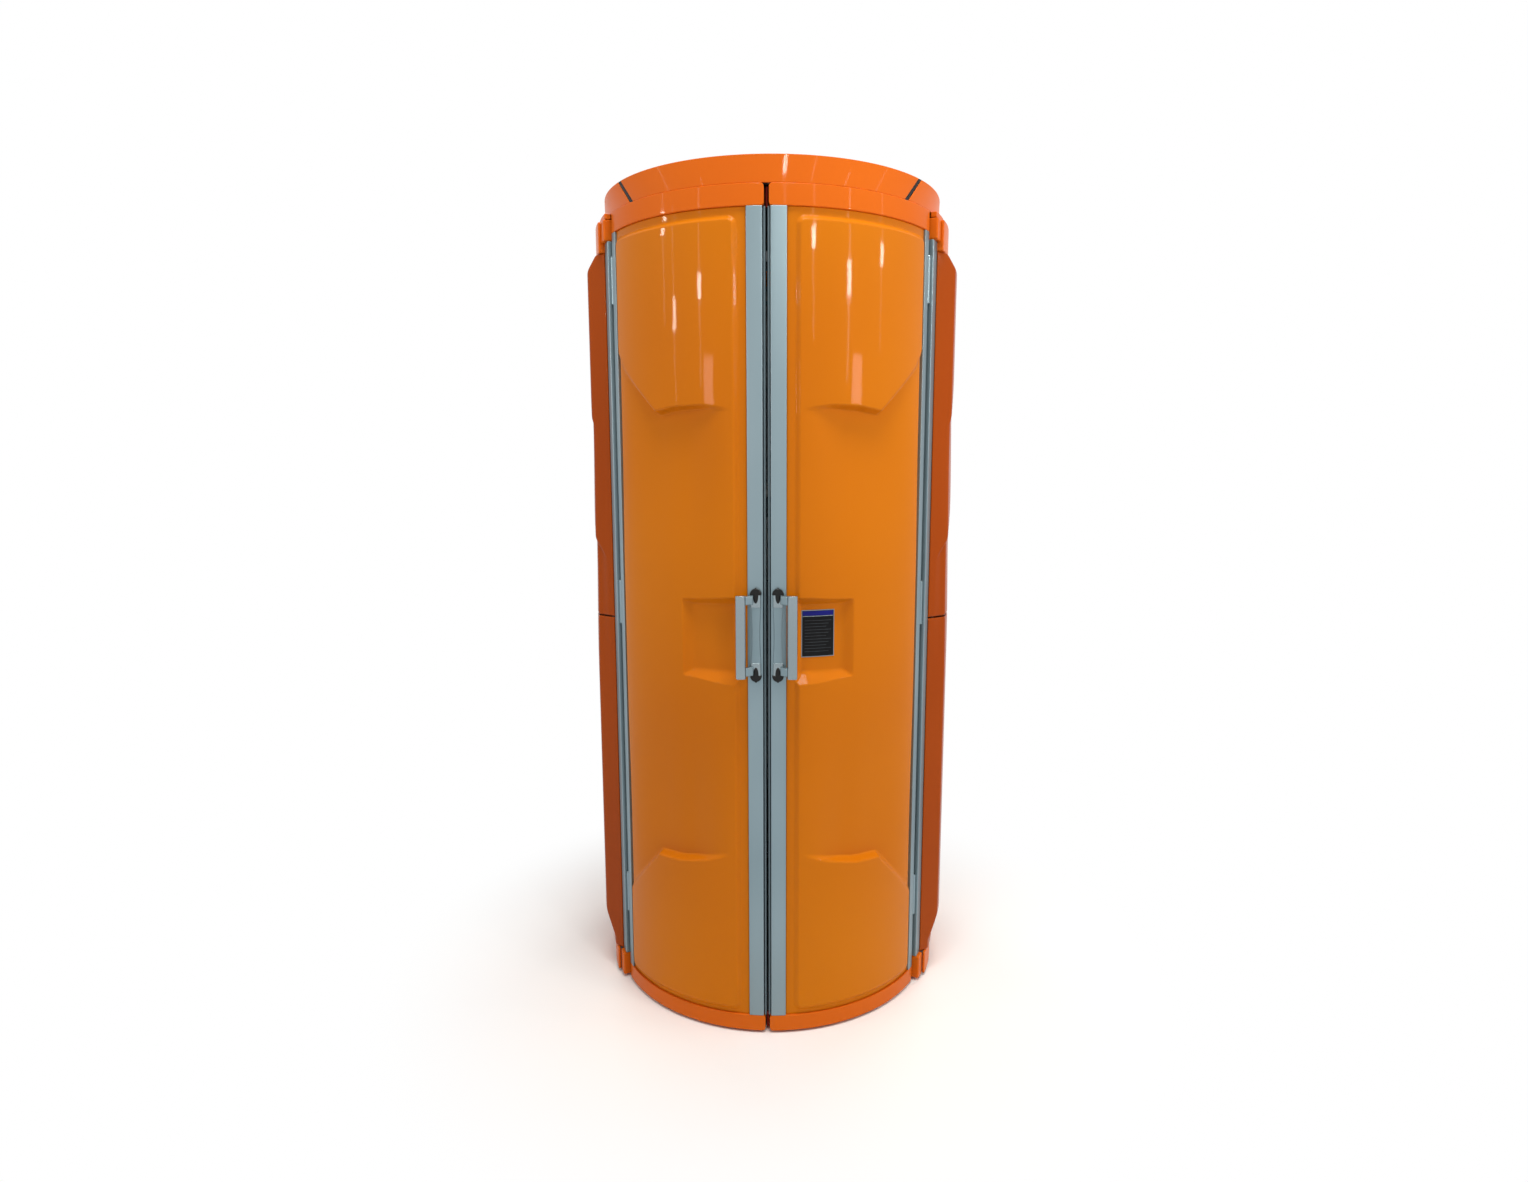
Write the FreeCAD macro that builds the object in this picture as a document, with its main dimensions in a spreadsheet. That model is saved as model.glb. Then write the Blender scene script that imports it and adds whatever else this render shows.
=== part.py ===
import FreeCAD, Part
import Sketcher
import os

# Vertical tanning booth. Millimetres, +Z up. The origin is on the floor on the
# axis of the round cabin, and the two doors open towards -Y. A turn is an
# angle in degrees about that axis, measured from the front towards +X.

SIZES = {
    # base
    "foot_ring": 350,
    "foot_turn": 45,
    "foot_count": 4,
    "foot_radius": 28,
    "foot_high": 12,
    "stem_radius": 8,
    "plinth_inset": 4,
    "plinth_wall": 4,
    "plinth_low": 22,
    "plinth_high": 96,
    "platform_inset": 8,
    "platform_thick": 16,
    "mat_inset": 10,
    "mat_thick": 5,
    # doors
    "rail_out": 480.5,
    "door_deep": 35,
    "skin_inset": 3,
    "skin_back": 4,
    "stile_wall": 3,
    "stile_side": 0.4,
    "field_raise": 6,
    "waist_deep": 17,
    "pocket_deep": 30.5,
    "door_low": 7,
    "rail_high": 45,
    "top_rail_lift": 41,
    "top_rail_high": 48,
    "rail_turn": 0.4,
    "seam_turn": 1.08,
    "stile_turn": 5.95,
    "field_turn": 9.2,
    "field_end": 59,
    "skin_end": 59.35,
    "door_turn": 62.4,
    "field_lift": 14,
    "field_drop": 16,
    "waist_near": 94,
    "waist_corner_low": 299,
    "waist_corner_high": 287,
    "waist_far": 396,
    "waist_low": 508,
    "waist_high": 1672,
    "waist_fall": 203,
    "waist_rise": 193,
    "pocket_end": 27.4,
    "pocket_below": 130,
    "pocket_above": 85,
    "gasket_turn": 0.15,
    "gasket_inset": 14,
    "gasket_deep": 12,
    "plate_turn": 11.2,
    "plate_end": 22.6,
    "plate_lift": 65,
    "plate_long": 125,
    "plate_thick": 1.5,
    # pull handles
    "pull_middle": 1115,
    "pull_half": 91,
    "pull_turn": 1.85,
    "pull_end": 4.95,
    "pull_thick": 5,
    "arm_high": 16,
    "arm_inset": 3,
    "arm_root": 1,
    "arm_near": 19,
    "arm_far": 26,
    "arm_knee": 3,
    "arm_bend": 10,
    "arm_back": 7,
    "grip_gap": 22,
    "grip_thick": 18,
    "grip_near": 36,
    "grip_wide": 26,
    "grip_bevel": 5,
    "grip_half": 107,
    "cap_radius": 14,
    "cap_thick": 8,
    "cap_side": 12.75,
    "cap_half": 106,
    "tongue_half": 5,
    "tongue_long": 25,
    "tongue_thick": 3,
    # hinges
    "hinge_inset": 3.046,
    "hinge_y": 6.534,
    "hinge_turn": 63.2,
    "knuckle_radius": 5.4,
    "pin_radius": 2.5,
    "pin_gap": 0.05,
    "head_lip": 2.1,
    "head_high": 3,
    "leaf_inset": 4.5,
    "leaf_thick": 3,
    "hinge_low": 220,
    "hinge_drop": 142,
    "hinge_count": 3,
    "knuckle_high": 40,
    "knuckle_gap": 0.5,
    # lamp trays
    "tray_back": 5,
    "tray_deep": 47,
    "tray_lift": 14,
    "tray_rise": 18,
    "tray_plate": 6,
    "tray_side": 0.5,
    "holder_front": 6,
    "holder_back": 2,
    "holder_high": 40,
    "lamp_inset": 22,
    "lamp_radius": 19,
    "window_front": 0.5,
    "window_thick": 3,
    "door_tray_turn": 3.2,
    "door_tray_end": 60.2,
    "door_lamp_start": 4.8,
    "door_lamp_end": 4.95,
    "door_lamp_count": 8,
    "tray_turn": 67.5,
    "rib_turn": 172.6,
    "lamp_start": 3.7,
    "lamp_end": 3.9,
    "lamp_count": 16,
    # fixed body
    "body_high": 2122,
    "post_turn": 64.1,
    "post_end": 68.2,
    "post_step": 8,
    "post_low": 78,
    "post_rise": 24,
    "nub_step": 18,
    "band_step": 9,
    "band_wall": 8,
    "band_back": 4,
    "low_band_low": 8,
    "top_band_high": 80,
    "half_turn": 180,
    "front_turn": 270,
    "shell_step": 5,
    "shell_lip": 16,
    "shell_bulge": 38.5,
    "shell_wall": 4,
    "shell_trim": 0.5,
    "shell_end": 146,
    "shell_seam": 1112,
    "shell_gap": 1.5,
    "low_chamfer_high": 52,
    "high_chamfer_high": 40,
    "bevel_back": 8,
    "bevel_reach": 66,
    "bevel_before": 10,
    "bevel_side": 80,
    "bevel_out": 75,
    "back_step": 17,
    "back_wall": 4,
    "vent_turn": 19,
    "vent_sweep": 30,
    "vent_high": 12,
    "vent_low": 640,
    "vent_count": 14,
    "vent_span": 390,
    "vent_past": 1,
    # roof
    "ring_inset": 2,
    "ring_wall": 6,
    "riser_high": 14,
    "ring_tall": 64,
    "ring_cut_low": 338,
    "ring_cut_high": 386,
    "ring_cut_gap": 9,
    "deck_thick": 6,
    "fan_x": 165,
    "fan_y": 60,
    "fan_hole": 116,
    "fan_seat": 3,
    "fan_wall": 5,
    "fan_lip": 10,
    "fan_tall": 44,
    "motor_radius": 28,
    "motor_tall": 14,
    "shaft_radius": 4,
    "shaft_gap": 0.06,
    "shaft_short": 1,
    "hub_wall": 3,
    "hub_gap": 1,
    "hub_long": 20,
    "blade_sink": 2,
    "blade_gap": 6,
    "blade_half": 20,
    "blade_thick": 3,
    "blade_inset": 3,
    "blade_count": 7,
    "spider_half": 5,
    "spider_high": 5,
    "spider_count": 3,
    "spider_span": 120,
    "flange_thick": 3,
    "guard_thick": 3,
    "guard_half": 2,
    "guard_count": 4,
    "guard_span": 135,
    "guard_step": 34,
    "guard_width": 4,
    "duct_y": 300,
    "duct_in": 78,
    "duct_wall": 2,
    "duct_lip": 12,
    "duct_tall": 52,
    # equipment
    "ballast_half": 95,
    "ballast_deep": 45,
    "ballast_tall": 322,
    "panel_half": 46,
    "panel_step": 12,
    "panel_gap": 0.1,
    "panel_past": 80,
    "panel_low": 1150,
    "panel_tall": 330,
    "screen_half": 32,
    "screen_lift": 220,
    "screen_tall": 70,
    "screen_thick": 2,
    "button_radius": 12,
    "button_gap": 0.4,
    "button_step": 8,
    "button_long": 14,
    "start_lift": 150,
    "stop_lift": 80,
    "grip_bar_radius": 9,
    "grip_bar_x": 200,
    "grip_bar_near": -90,
    "grip_bar_long": 130,
    "grip_bar_drop": 126,
    "supply_half": 60,
    "supply_deep": 40,
    "supply_inset": 25,
    "supply_low": 150,
    "supply_tall": 140,
    "gland_radius": 13,
    "gland_bore": 6.5,
    "gland_long": 26,
    "gland_step": 19,
    "gland_hole": 20,
    "rocker_half": 10,
    "rocker_lift": 86,
    "rocker_reach": 16,
    "rocker_in": 4,
    "rocker_out": 8,
    "rocker_gap": 0.5,
    "rocker_slack": 1,
    "rocker_deep": 14,
    "rocker_sink": 4,
    "rocker_pin_radius": 2,
    "rocker_pin_gap": 0.06,
    "pin_seat": 2,
    "past": 10,
    "cut_past": 1,
}

# Sizes that follow from others.
DERIVED = {
    # radii
    "rail_in": "rail_out - door_deep",
    "skin_in": "rail_in + skin_back",
    "skin_out": "rail_out - skin_inset",
    "raised_out": "skin_out + field_raise",
    "waist_out": "raised_out - waist_deep",
    "pocket_out": "raised_out - pocket_deep",
    "plate_out": "pocket_out + plate_thick",
    "gasket_in": "rail_in + gasket_inset",
    "gasket_out": "gasket_in + gasket_deep",
    "pull_plate_out": "rail_out + pull_thick",
    "grip_in": "pull_plate_out + grip_gap",
    "grip_out": "grip_in + grip_thick",
    "arm_in": "pull_plate_out + arm_bend",
    "arm_out": "grip_in - arm_back",
    "arm_foot": "pull_plate_out + arm_knee",
    "hinge_x": "rail_out - hinge_inset",
    "leaf_in": "rail_out - leaf_inset",
    "leaf_out": "leaf_in + leaf_thick",
    "tray_in": "rail_in - tray_back",
    "tray_lip": "tray_in - tray_deep",
    "holder_in": "tray_lip + holder_front",
    "holder_out": "tray_in - holder_back",
    "lamp_ring": "tray_in - lamp_inset",
    "window_in": "tray_lip + window_front",
    "window_out": "window_in + window_thick",
    "panel_ring": "tray_in - panel_gap",
    "panel_front": "tray_lip - panel_step",
    "screen_front": "panel_front - screen_thick",
    "button_front": "panel_front - button_step",
    "button_hole": "button_radius + button_gap",
    "plinth_radius": "rail_in - plinth_inset",
    "platform_radius": "plinth_radius - platform_inset",
    "mat_radius": "tray_lip - mat_inset",
    "post_out": "rail_out + post_step",
    "nub_out": "rail_out + nub_step",
    "band_root": "rail_in + band_back",
    "band_in": "post_out + band_step",
    "band_out": "band_in + band_wall",
    "shell_root": "post_out + shell_step",
    "shell_edge": "shell_root + shell_lip",
    "shell_out": "shell_root + shell_bulge",
    "bevel_in": "shell_root - bevel_back",
    "bevel_far": "bevel_in + bevel_reach",
    "bevel_past": "shell_out + bevel_out",
    "back_in": "shell_root + back_step",
    "back_out": "back_in + back_wall",
    "ring_out": "rail_out - ring_inset",
    "ring_in": "ring_out - ring_wall",
    "fan_wall_in": "fan_hole + fan_seat",
    "fan_wall_out": "fan_wall_in + fan_wall",
    "fan_flange": "fan_wall_out + fan_lip",
    "guard_ring": "fan_wall_out - guard_step",
    "guard_ring_small": "guard_ring - guard_step",
    "hub_radius": "motor_radius + hub_wall",
    "shaft_bore": "shaft_radius + shaft_gap",
    "blade_root": "hub_radius - blade_sink",
    "blade_tip": "fan_wall_in - blade_gap",
    "duct_out": "duct_in + duct_wall",
    "duct_flange": "duct_out + duct_lip",
    "bore_radius": "pin_radius + pin_gap",
    "head_radius": "pin_radius + head_lip",
    "supply_back": "back_out + supply_deep",
    "supply_root": "back_out - supply_inset",
    "gland_y": "back_out + gland_step",
    "rocker_axis": "supply_back - rocker_sink",
    "rocker_pin_bore": "rocker_pin_radius + rocker_pin_gap",
    "pocket_half": "rocker_half + rocker_gap",
    "pocket_reach": "rocker_reach + rocker_slack",
    "grip_far": "grip_near + grip_wide",
    "grip_bar_far": "grip_bar_near - grip_bar_long",
    # heights
    "platform_high": "plinth_high + platform_thick",
    "mat_high": "platform_high + mat_thick",
    "tray_low": "platform_high + tray_lift",
    "tray_high": "body_high + tray_rise",
    "low_rail_top": "door_low + rail_high",
    "high_rail_low": "body_high + top_rail_lift",
    "door_high": "high_rail_low + top_rail_high",
    "field_low": "low_rail_top + field_lift",
    "field_high": "high_rail_low - field_drop",
    "waist_far_low": "waist_low - waist_fall",
    "waist_far_high": "waist_high + waist_rise",
    "pull_low": "pull_middle - pull_half",
    "pull_high": "pull_middle + pull_half",
    "grip_low": "pull_middle - grip_half",
    "grip_high": "pull_middle + grip_half",
    "cap_low": "pull_middle - cap_half",
    "cap_high": "pull_middle + cap_half",
    "pocket_low": "pull_middle - pocket_below",
    "pocket_high": "pull_middle + pocket_above",
    "plate_low": "pocket_low + plate_lift",
    "plate_high": "plate_low + plate_long",
    "hinge_span": "body_high - hinge_low - hinge_drop",
    "post_high": "body_high + post_rise",
    "high_band_high": "body_high + top_band_high",
    "low_chamfer": "post_low + low_chamfer_high",
    "high_chamfer": "body_high - high_chamfer_high",
    "ring_low": "high_band_high + riser_high",
    "ring_high": "ring_low + ring_tall",
    "deck_high": "ring_low + deck_thick",
    "fan_high": "deck_high + fan_tall",
    "guard_high": "fan_high + guard_thick",
    "motor_high": "deck_high + motor_tall",
    "hub_low": "motor_high + hub_gap",
    "hub_high": "hub_low + hub_long",
    "shaft_high": "hub_high - shaft_short",
    "blade_low": "hub_low + blade_inset",
    "blade_high": "hub_high - blade_inset",
    "screen_low": "panel_low + screen_lift",
    "start_high": "panel_low + start_lift",
    "stop_high": "panel_low + stop_lift",
    "grip_bar_low": "ring_low - grip_bar_drop",
    "rocker_high": "supply_low + rocker_lift",
    # angles
    "door_window_turn": "door_tray_turn + tray_side",
    "door_window_end": "door_tray_end - tray_side",
    "cabin_window_turn": "tray_turn + tray_side",
    "lamp_turn": "tray_turn + lamp_start",
    "lamp_span": "rib_turn - lamp_turn - lamp_end",
    "door_lamp_turn": "door_tray_turn + door_lamp_start",
    "door_lamp_span": "door_tray_end - door_lamp_turn - door_lamp_end",
}

doc = FreeCAD.newDocument("tanning_booth")
sheet = doc.addObject("Spreadsheet::Sheet", "Sizes")
for row, (name, number) in enumerate(SIZES.items(), start=1):
    sheet.set(f"A{row}", name)
    sheet.set(f"B{row}", str(number))
    sheet.setAlias(f"B{row}", name)
doc.recompute()

NODES = []
ROUND = "half_turn + half_turn"


# Sizes are written as sums of names and numbers, such as "rail_out - skin_in".

def value(text):
    """The number that a sum of sizes comes to."""
    total = 0.0
    sign = 1.0
    for word in text.split():
        if word in "+-":
            sign = -1.0 if word == "-" else 1.0
        elif word in DERIVED:
            total += sign * value(DERIVED[word])
        else:
            total += sign * float(SIZES.get(word, word))
    return total


def link_word(word):
    """One word of a sum as an expression on the sheet."""
    if word in DERIVED:
        return f"({link(DERIVED[word])})"
    return f"Sizes.{word}" if word in SIZES else word


def link(text):
    """The same sum as an expression on the sheet."""
    linked = " ".join(link_word(word) for word in text.split())
    return f"0 {linked}" if text.startswith("-") else linked


def bind(item, prop, text):
    item.setExpression(prop, link(text))


# PartDesign pieces

def new_body(label, turn=None):
    """An empty body, turned about the booth axis."""
    body = doc.addObject("PartDesign::Body", "Body")
    body.Label = label
    body.AllowCompound = True
    if turn is not None:
        bind(body, "Placement.Rotation.Angle", f"{turn} + front_turn")
    return body


def origin_part(body, role):
    return next(item for item in body.Origin.OriginFeatures if item.Role == role)


def new_sketch(body, role, turn=None, lift=None):
    """A sketch on one of the body's own planes, turned or lifted if asked."""
    drawing = body.newObject("Sketcher::SketchObject", "Sketch")
    drawing.AttachmentSupport = [(origin_part(body, role), "")]
    drawing.MapMode = "FlatFace"
    if turn is not None:
        axis = FreeCAD.Vector(0, 1, 0)
        drawing.AttachmentOffset = FreeCAD.Placement(FreeCAD.Vector(), FreeCAD.Rotation(axis, 1))
        bind(drawing, "AttachmentOffset.Rotation.Angle", turn)
    if lift is not None:
        bind(drawing, "AttachmentOffset.Base.z", lift)
    return drawing


def pin_point(drawing, number, end, x, y):
    """Fix one end of one line at a place given by two sizes."""
    for kind, text in (("DistanceX", x), ("DistanceY", y)):
        place = drawing.addConstraint(
            Sketcher.Constraint(kind, -1, 1, number, end, value(text)))
        bind(drawing, f"Constraints[{place}]", text)


def draw_shape(drawing, corners):
    """A closed outline through the corners."""
    first = drawing.GeometryCount
    spots = [FreeCAD.Vector(value(x), value(y), 0) for x, y in corners]
    for place, spot in enumerate(spots):
        drawing.addGeometry(Part.LineSegment(spot, spots[(place + 1) % len(spots)]), False)
    for place, (x, y) in enumerate(corners):
        following = first + (place + 1) % len(corners)
        drawing.addConstraint(
            Sketcher.Constraint("Coincident", first + place, 2, following, 1))
        pin_point(drawing, first + place, 1, x, y)


def draw_circle(drawing, radius, x="0", y="0"):
    """A circle with a bound radius and centre."""
    number = drawing.GeometryCount
    centre = FreeCAD.Vector(value(x), value(y), 0)
    up = FreeCAD.Vector(0, 0, 1)
    drawing.addGeometry(Part.Circle(centre, up, value(radius)), False)
    place = drawing.addConstraint(Sketcher.Constraint("Radius", number, value(radius)))
    bind(drawing, f"Constraints[{place}]", radius)
    pin_point(drawing, number, 3, x, y)


def box_corners(x_low, x_high, y_low, y_high):
    return [(x_low, y_low), (x_high, y_low), (x_high, y_high), (x_low, y_high)]


def revolve(body, corners, sweep, offset=None, kind="PartDesign::Revolution"):
    """Turn an outline of radius and height about the booth axis."""
    drawing = new_sketch(body, "XZ_Plane", turn=offset)
    draw_shape(drawing, corners)
    feature = body.newObject(kind, "Turned")
    feature.Profile = drawing
    feature.ReferenceAxis = (origin_part(body, "Z_Axis"), [""])
    bind(feature, "Angle", sweep)
    return feature


def extrude(body, drawing, long, kind="PartDesign::Pad", back=False):
    feature = body.newObject(kind, "Extruded")
    feature.Profile = drawing
    feature.Reversed = back
    bind(feature, "Length", long)
    return feature


def repeat(body, features, role, count, span, round_axis=True):
    """Repeat features along or about one of the body's axes."""
    kind = "PartDesign::PolarPattern" if round_axis else "PartDesign::LinearPattern"
    pattern = body.newObject(kind, "Pattern")
    pattern.Originals = features
    if round_axis:
        pattern.Axis = (origin_part(body, role), [""])
        bind(pattern, "Angle", span)
    else:
        pattern.Direction = (origin_part(body, role), [""])
        bind(pattern, "Length", span)
    bind(pattern, "Occurrences", count)
    body.Tip = pattern
    return pattern


def sector(label, turn, end, corners):
    """A body that is one outline turned from one angle to another."""
    body = new_body(label, turn)
    revolve(body, corners, f"{end} - {turn}")
    return body


# Part pieces

def cylinder(label, radius, low, long, x="0", y="0"):
    item = doc.addObject("Part::Cylinder", "Cylinder")
    item.Label = label
    bind(item, "Radius", radius)
    bind(item, "Height", long)
    for axis, text in zip("xyz", (x, y, low)):
        bind(item, f"Placement.Base.{axis}", text)
    return item


def block(label, x_low, x_size, y_low, y_size, z_low, z_size):
    item = doc.addObject("Part::Box", "Box")
    item.Label = label
    sizes = (("Length", x_size), ("Width", y_size), ("Height", z_size))
    for prop, text in sizes:
        bind(item, prop, text)
    for axis, text in zip("xyz", (x_low, y_low, z_low)):
        bind(item, f"Placement.Base.{axis}", text)
    return item


def lay_along_y(item):
    """Turn a cylinder so that it runs towards +Y."""
    place = item.Placement
    place.Rotation = FreeCAD.Rotation(FreeCAD.Vector(1, 0, 0), -90)
    item.Placement = place
    return item


def cut(label, base, tool):
    item = doc.addObject("Part::Cut", "Cut")
    item.Label = label
    item.Base = base
    item.Tool = tool
    return item


def common(label, first, second):
    item = doc.addObject("Part::MultiCommon", "Common")
    item.Label = label
    item.Shapes = [first, second]
    return item


def fuse(label, items):
    item = doc.addObject("Part::MultiFuse", "Fusion")
    item.Label = label
    item.Shapes = items
    return item


def mirror(label, source):
    """The same piece on the other side of the booth."""
    item = doc.addObject("Part::Mirroring", "Mirrored")
    item.Label = label
    item.Source = source
    item.Normal = FreeCAD.Vector(1, 0, 0)
    return item


def node(item):
    """Count a finished piece among the files to write."""
    NODES.append(item)
    return item


def pair(item):
    """Count a right-hand piece and its left-hand copy."""
    node(item)
    node(mirror(item.Label.replace("right", "left"), item))


# Base: a ring of levelling feet with one more in the middle, a round sheet
# plinth with a wider rear half, the floor platform and its rubber mat.

feet = new_body("levelling_feet", "foot_turn")


def foot(away):
    """A foot and its stem, which reaches the underside of the plinth's top."""
    features = []
    for radius, low, long in (
        ("foot_radius", "0", "foot_high"),
        ("stem_radius", "foot_high", "plinth_high - plinth_wall - foot_high"),
    ):
        drawing = new_sketch(feet, "XY_Plane", lift=low)
        draw_circle(drawing, radius, away)
        features.append(extrude(feet, drawing, long))
    return features


repeat(feet, foot("foot_ring"), "Z_Axis", "foot_count", ROUND)
foot("0")
node(feet)

plinth = new_body("base_plinth", "post_end")
revolve(plinth, [
    ("plinth_radius", "plinth_low"),
    ("plinth_radius", "plinth_high"),
    ("0", "plinth_high"),
    ("0", "plinth_high - plinth_wall"),
    ("plinth_radius - plinth_wall", "plinth_high - plinth_wall"),
    ("plinth_radius - plinth_wall", "plinth_low"),
], ROUND)
revolve(plinth, box_corners("plinth_radius - plinth_wall", "band_in", "post_low - band_wall",
                            "post_low"), f"{ROUND} - post_end - post_end")
node(plinth)

platform = new_body("floor_platform")
drawing = new_sketch(platform, "XY_Plane", lift="plinth_high")
draw_circle(drawing, "platform_radius")
extrude(platform, drawing, "platform_high - plinth_high")
node(platform)

mat = new_body("floor_mat")
drawing = new_sketch(mat, "XY_Plane", lift="platform_high")
draw_circle(drawing, "mat_radius")
extrude(mat, drawing, "mat_high - platform_high")
node(mat)


# Orange bands around the fixed part: open channels with solid front ends.

def channel(low, high):
    return [
        ("band_root", low),
        ("band_out", low),
        ("band_out", high),
        ("band_root", high),
        ("band_root", f"{high} - band_wall"),
        ("band_in", f"{high} - band_wall"),
        ("band_in", f"{low} + band_wall"),
        ("band_root", f"{low} + band_wall"),
    ]


low_band = new_body("bottom_band", "post_turn")
revolve(low_band, [
    ("band_in", "low_band_low"),
    ("band_out", "low_band_low"),
    ("band_out", "post_low"),
    ("band_in", "post_low"),
], f"{ROUND} - post_turn - post_turn")
end_sweep = "post_end - post_turn"
revolve(low_band, box_corners("band_root", "band_in", "low_band_low", "post_low"), end_sweep)
revolve(low_band, box_corners("band_root", "band_in", "low_band_low", "post_low"), end_sweep,
        f"{ROUND} - post_turn - post_end")
node(low_band)

top_band = new_body("top_band", "post_turn")
revolve(top_band, channel("body_high", "high_band_high"),
        f"{ROUND} - post_end - post_end", "post_end - post_turn")
for offset in (None, f"{ROUND} - post_turn - post_end"):
    revolve(top_band, box_corners("band_root", "nub_out", "post_high", "high_band_high"),
            end_sweep, offset)
node(top_band)


# Fixed aluminium posts beside the doors.

pair(sector("hinge_post_right", "post_turn", "post_end",
            box_corners("rail_in", "post_out", "post_low", "post_high")))


# Side shells: hollow covers with a slanted front edge and chamfered ends.

def shell_block(low, high, inset, chamfer_low, chamfer_high):
    """A curved block, set in by one wall for the hollow."""
    body = new_body("shell_block", "post_end")
    root = "shell_root" if inset == "0" else "shell_root - shell_wall"
    outer = f"shell_out - {inset}"
    edge = f"shell_edge - {inset}"
    start = low if inset == "0" else f"{low} + {inset}"
    stop = high if inset == "0" else f"{high} - {inset}"
    corners = [(root, start)]
    corners += [(edge, start), (outer, "low_chamfer")] if chamfer_low else [(outer, start)]
    corners += [(outer, "high_chamfer"), (edge, stop)] if chamfer_high else [(outer, stop)]
    corners += [(root, stop)]
    trim = "0" if inset == "0" else "shell_trim"
    revolve(body, corners, f"shell_end - post_end - {trim} - {trim}", None if inset == "0" else trim)
    drawing = new_sketch(body, "XY_Plane", lift=low)
    draw_shape(drawing, [
        (f"bevel_in - {inset}", "- bevel_before"),
        (f"bevel_far - {inset}", "bevel_side"),
        ("bevel_past", "bevel_side"),
        ("bevel_past", "- bevel_before"),
    ])
    extrude(body, drawing, "ring_high", "PartDesign::Pocket", back=True)
    return body


def side_shell(label, low, high, chamfer_low, chamfer_high):
    outer = shell_block(low, high, "0", chamfer_low, chamfer_high)
    inner = shell_block(low, high, "shell_wall", chamfer_low, chamfer_high)
    pair(cut(label, outer, inner))


side_shell("side_shell_lower_right", "post_low", "shell_seam - shell_gap", True, False)
side_shell("side_shell_upper_right", "shell_seam + shell_gap", "body_high", False, True)


# Back panel with a stack of air slots.

back = sector("back_panel", "shell_end", f"{ROUND} - shell_end",
              box_corners("back_in", "back_out", "post_low", "body_high"))
revolve(back, box_corners("back_in - vent_past", "back_out + vent_past", "vent_low",
                          "vent_low + vent_high"),
        "vent_sweep", "vent_turn", "PartDesign::Groove")
repeat(back, [back.Tip], "Z_Axis", "vent_count", "vent_span", round_axis=False)
node(back)


# Roof: deck plate with its riser and duct collar, and the fascia ring in two
# parts that meet at slanted seams.

deck = new_body("roof_deck")
drawing = new_sketch(deck, "XY_Plane", lift="ring_low")
draw_circle(drawing, "ring_in")
extrude(deck, drawing, "deck_high - ring_low")
revolve(deck, box_corners("band_root", "shell_root", "high_band_high", "ring_low"),
        f"{ROUND} - post_end - post_end", "post_end + front_turn")
drawing = new_sketch(deck, "XY_Plane", lift="deck_high")
draw_circle(drawing, "fan_hole", "fan_x", "fan_y")
draw_circle(drawing, "fan_hole", "- fan_x", "fan_y")
draw_circle(drawing, "duct_in", "0", "duct_y")
extrude(deck, drawing, "deck_thick + cut_past", "PartDesign::Pocket")
for outer, long in (("duct_flange", "flange_thick"), ("duct_out", "duct_tall")):
    drawing = new_sketch(deck, "XY_Plane", lift="deck_high")
    draw_circle(drawing, outer, "0", "duct_y")
    draw_circle(drawing, "duct_in", "0", "duct_y")
    extrude(deck, drawing, long)
node(deck)


def ring_body():
    ring = new_body("ring")
    revolve(ring, box_corners("ring_in", "ring_out", "ring_low", "ring_high"), ROUND)
    return ring


def ring_wedge(gap):
    """A wedge towards the front, wider at the top."""
    wedge = new_body("ring_wedge")
    drawing = new_sketch(wedge, "XZ_Plane")
    draw_shape(drawing, [
        (f"- ring_cut_low - {gap}", "ring_low"),
        (f"ring_cut_low + {gap}", "ring_low"),
        (f"ring_cut_high + {gap}", "ring_high"),
        (f"- ring_cut_high - {gap}", "ring_high"),
    ])
    extrude(wedge, drawing, "ring_out + past")
    return wedge


node(common("roof_fascia_front", ring_body(), ring_wedge("0")))
node(cut("roof_fascia_rear", ring_body(), ring_wedge("ring_cut_gap")))


# Exhaust fans on the deck: housing with motor, shaft and guard, and a rotor.

def place_fan(body, side):
    bind(body, "Placement.Base.x", f"{side} fan_x".strip())
    bind(body, "Placement.Base.y", "fan_y")


def ring_pad(body, outer, inner, low, long):
    drawing = new_sketch(body, "XY_Plane", lift=low)
    draw_circle(drawing, outer)
    draw_circle(drawing, inner)
    extrude(body, drawing, long)


def disc_pad(body, radius, low, long):
    drawing = new_sketch(body, "XY_Plane", lift=low)
    draw_circle(drawing, radius)
    extrude(body, drawing, long)


def bar_pad(body, reach, half, low, long):
    """A flat bar through the axis."""
    drawing = new_sketch(body, "XY_Plane", lift=low)
    draw_shape(drawing, box_corners(f"- {reach}", reach, f"- {half}", half))
    return extrude(body, drawing, long)


def fan_housing():
    body = new_body("fan_housing")
    place_fan(body, "")
    ring_pad(body, "fan_flange", "fan_hole", "deck_high", "flange_thick")
    ring_pad(body, "fan_wall_out", "fan_wall_in", "deck_high", "fan_high - deck_high")
    spider = bar_pad(body, "fan_wall_in + cut_past", "spider_half", "deck_high", "spider_high")
    repeat(body, [spider], "Z_Axis", "spider_count", "spider_span")
    disc_pad(body, "motor_radius", "deck_high", "motor_high - deck_high")
    disc_pad(body, "shaft_radius", "motor_high", "shaft_high - motor_high")
    guard = bar_pad(body, "fan_wall_in + cut_past", "guard_half", "fan_high", "guard_thick")
    repeat(body, [guard], "Z_Axis", "guard_count", "guard_span")
    for outer in ("fan_wall_out", "guard_ring", "guard_ring_small"):
        ring_pad(body, outer, f"{outer} - guard_width", "fan_high", "guard_high - fan_high")
    return body


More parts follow.
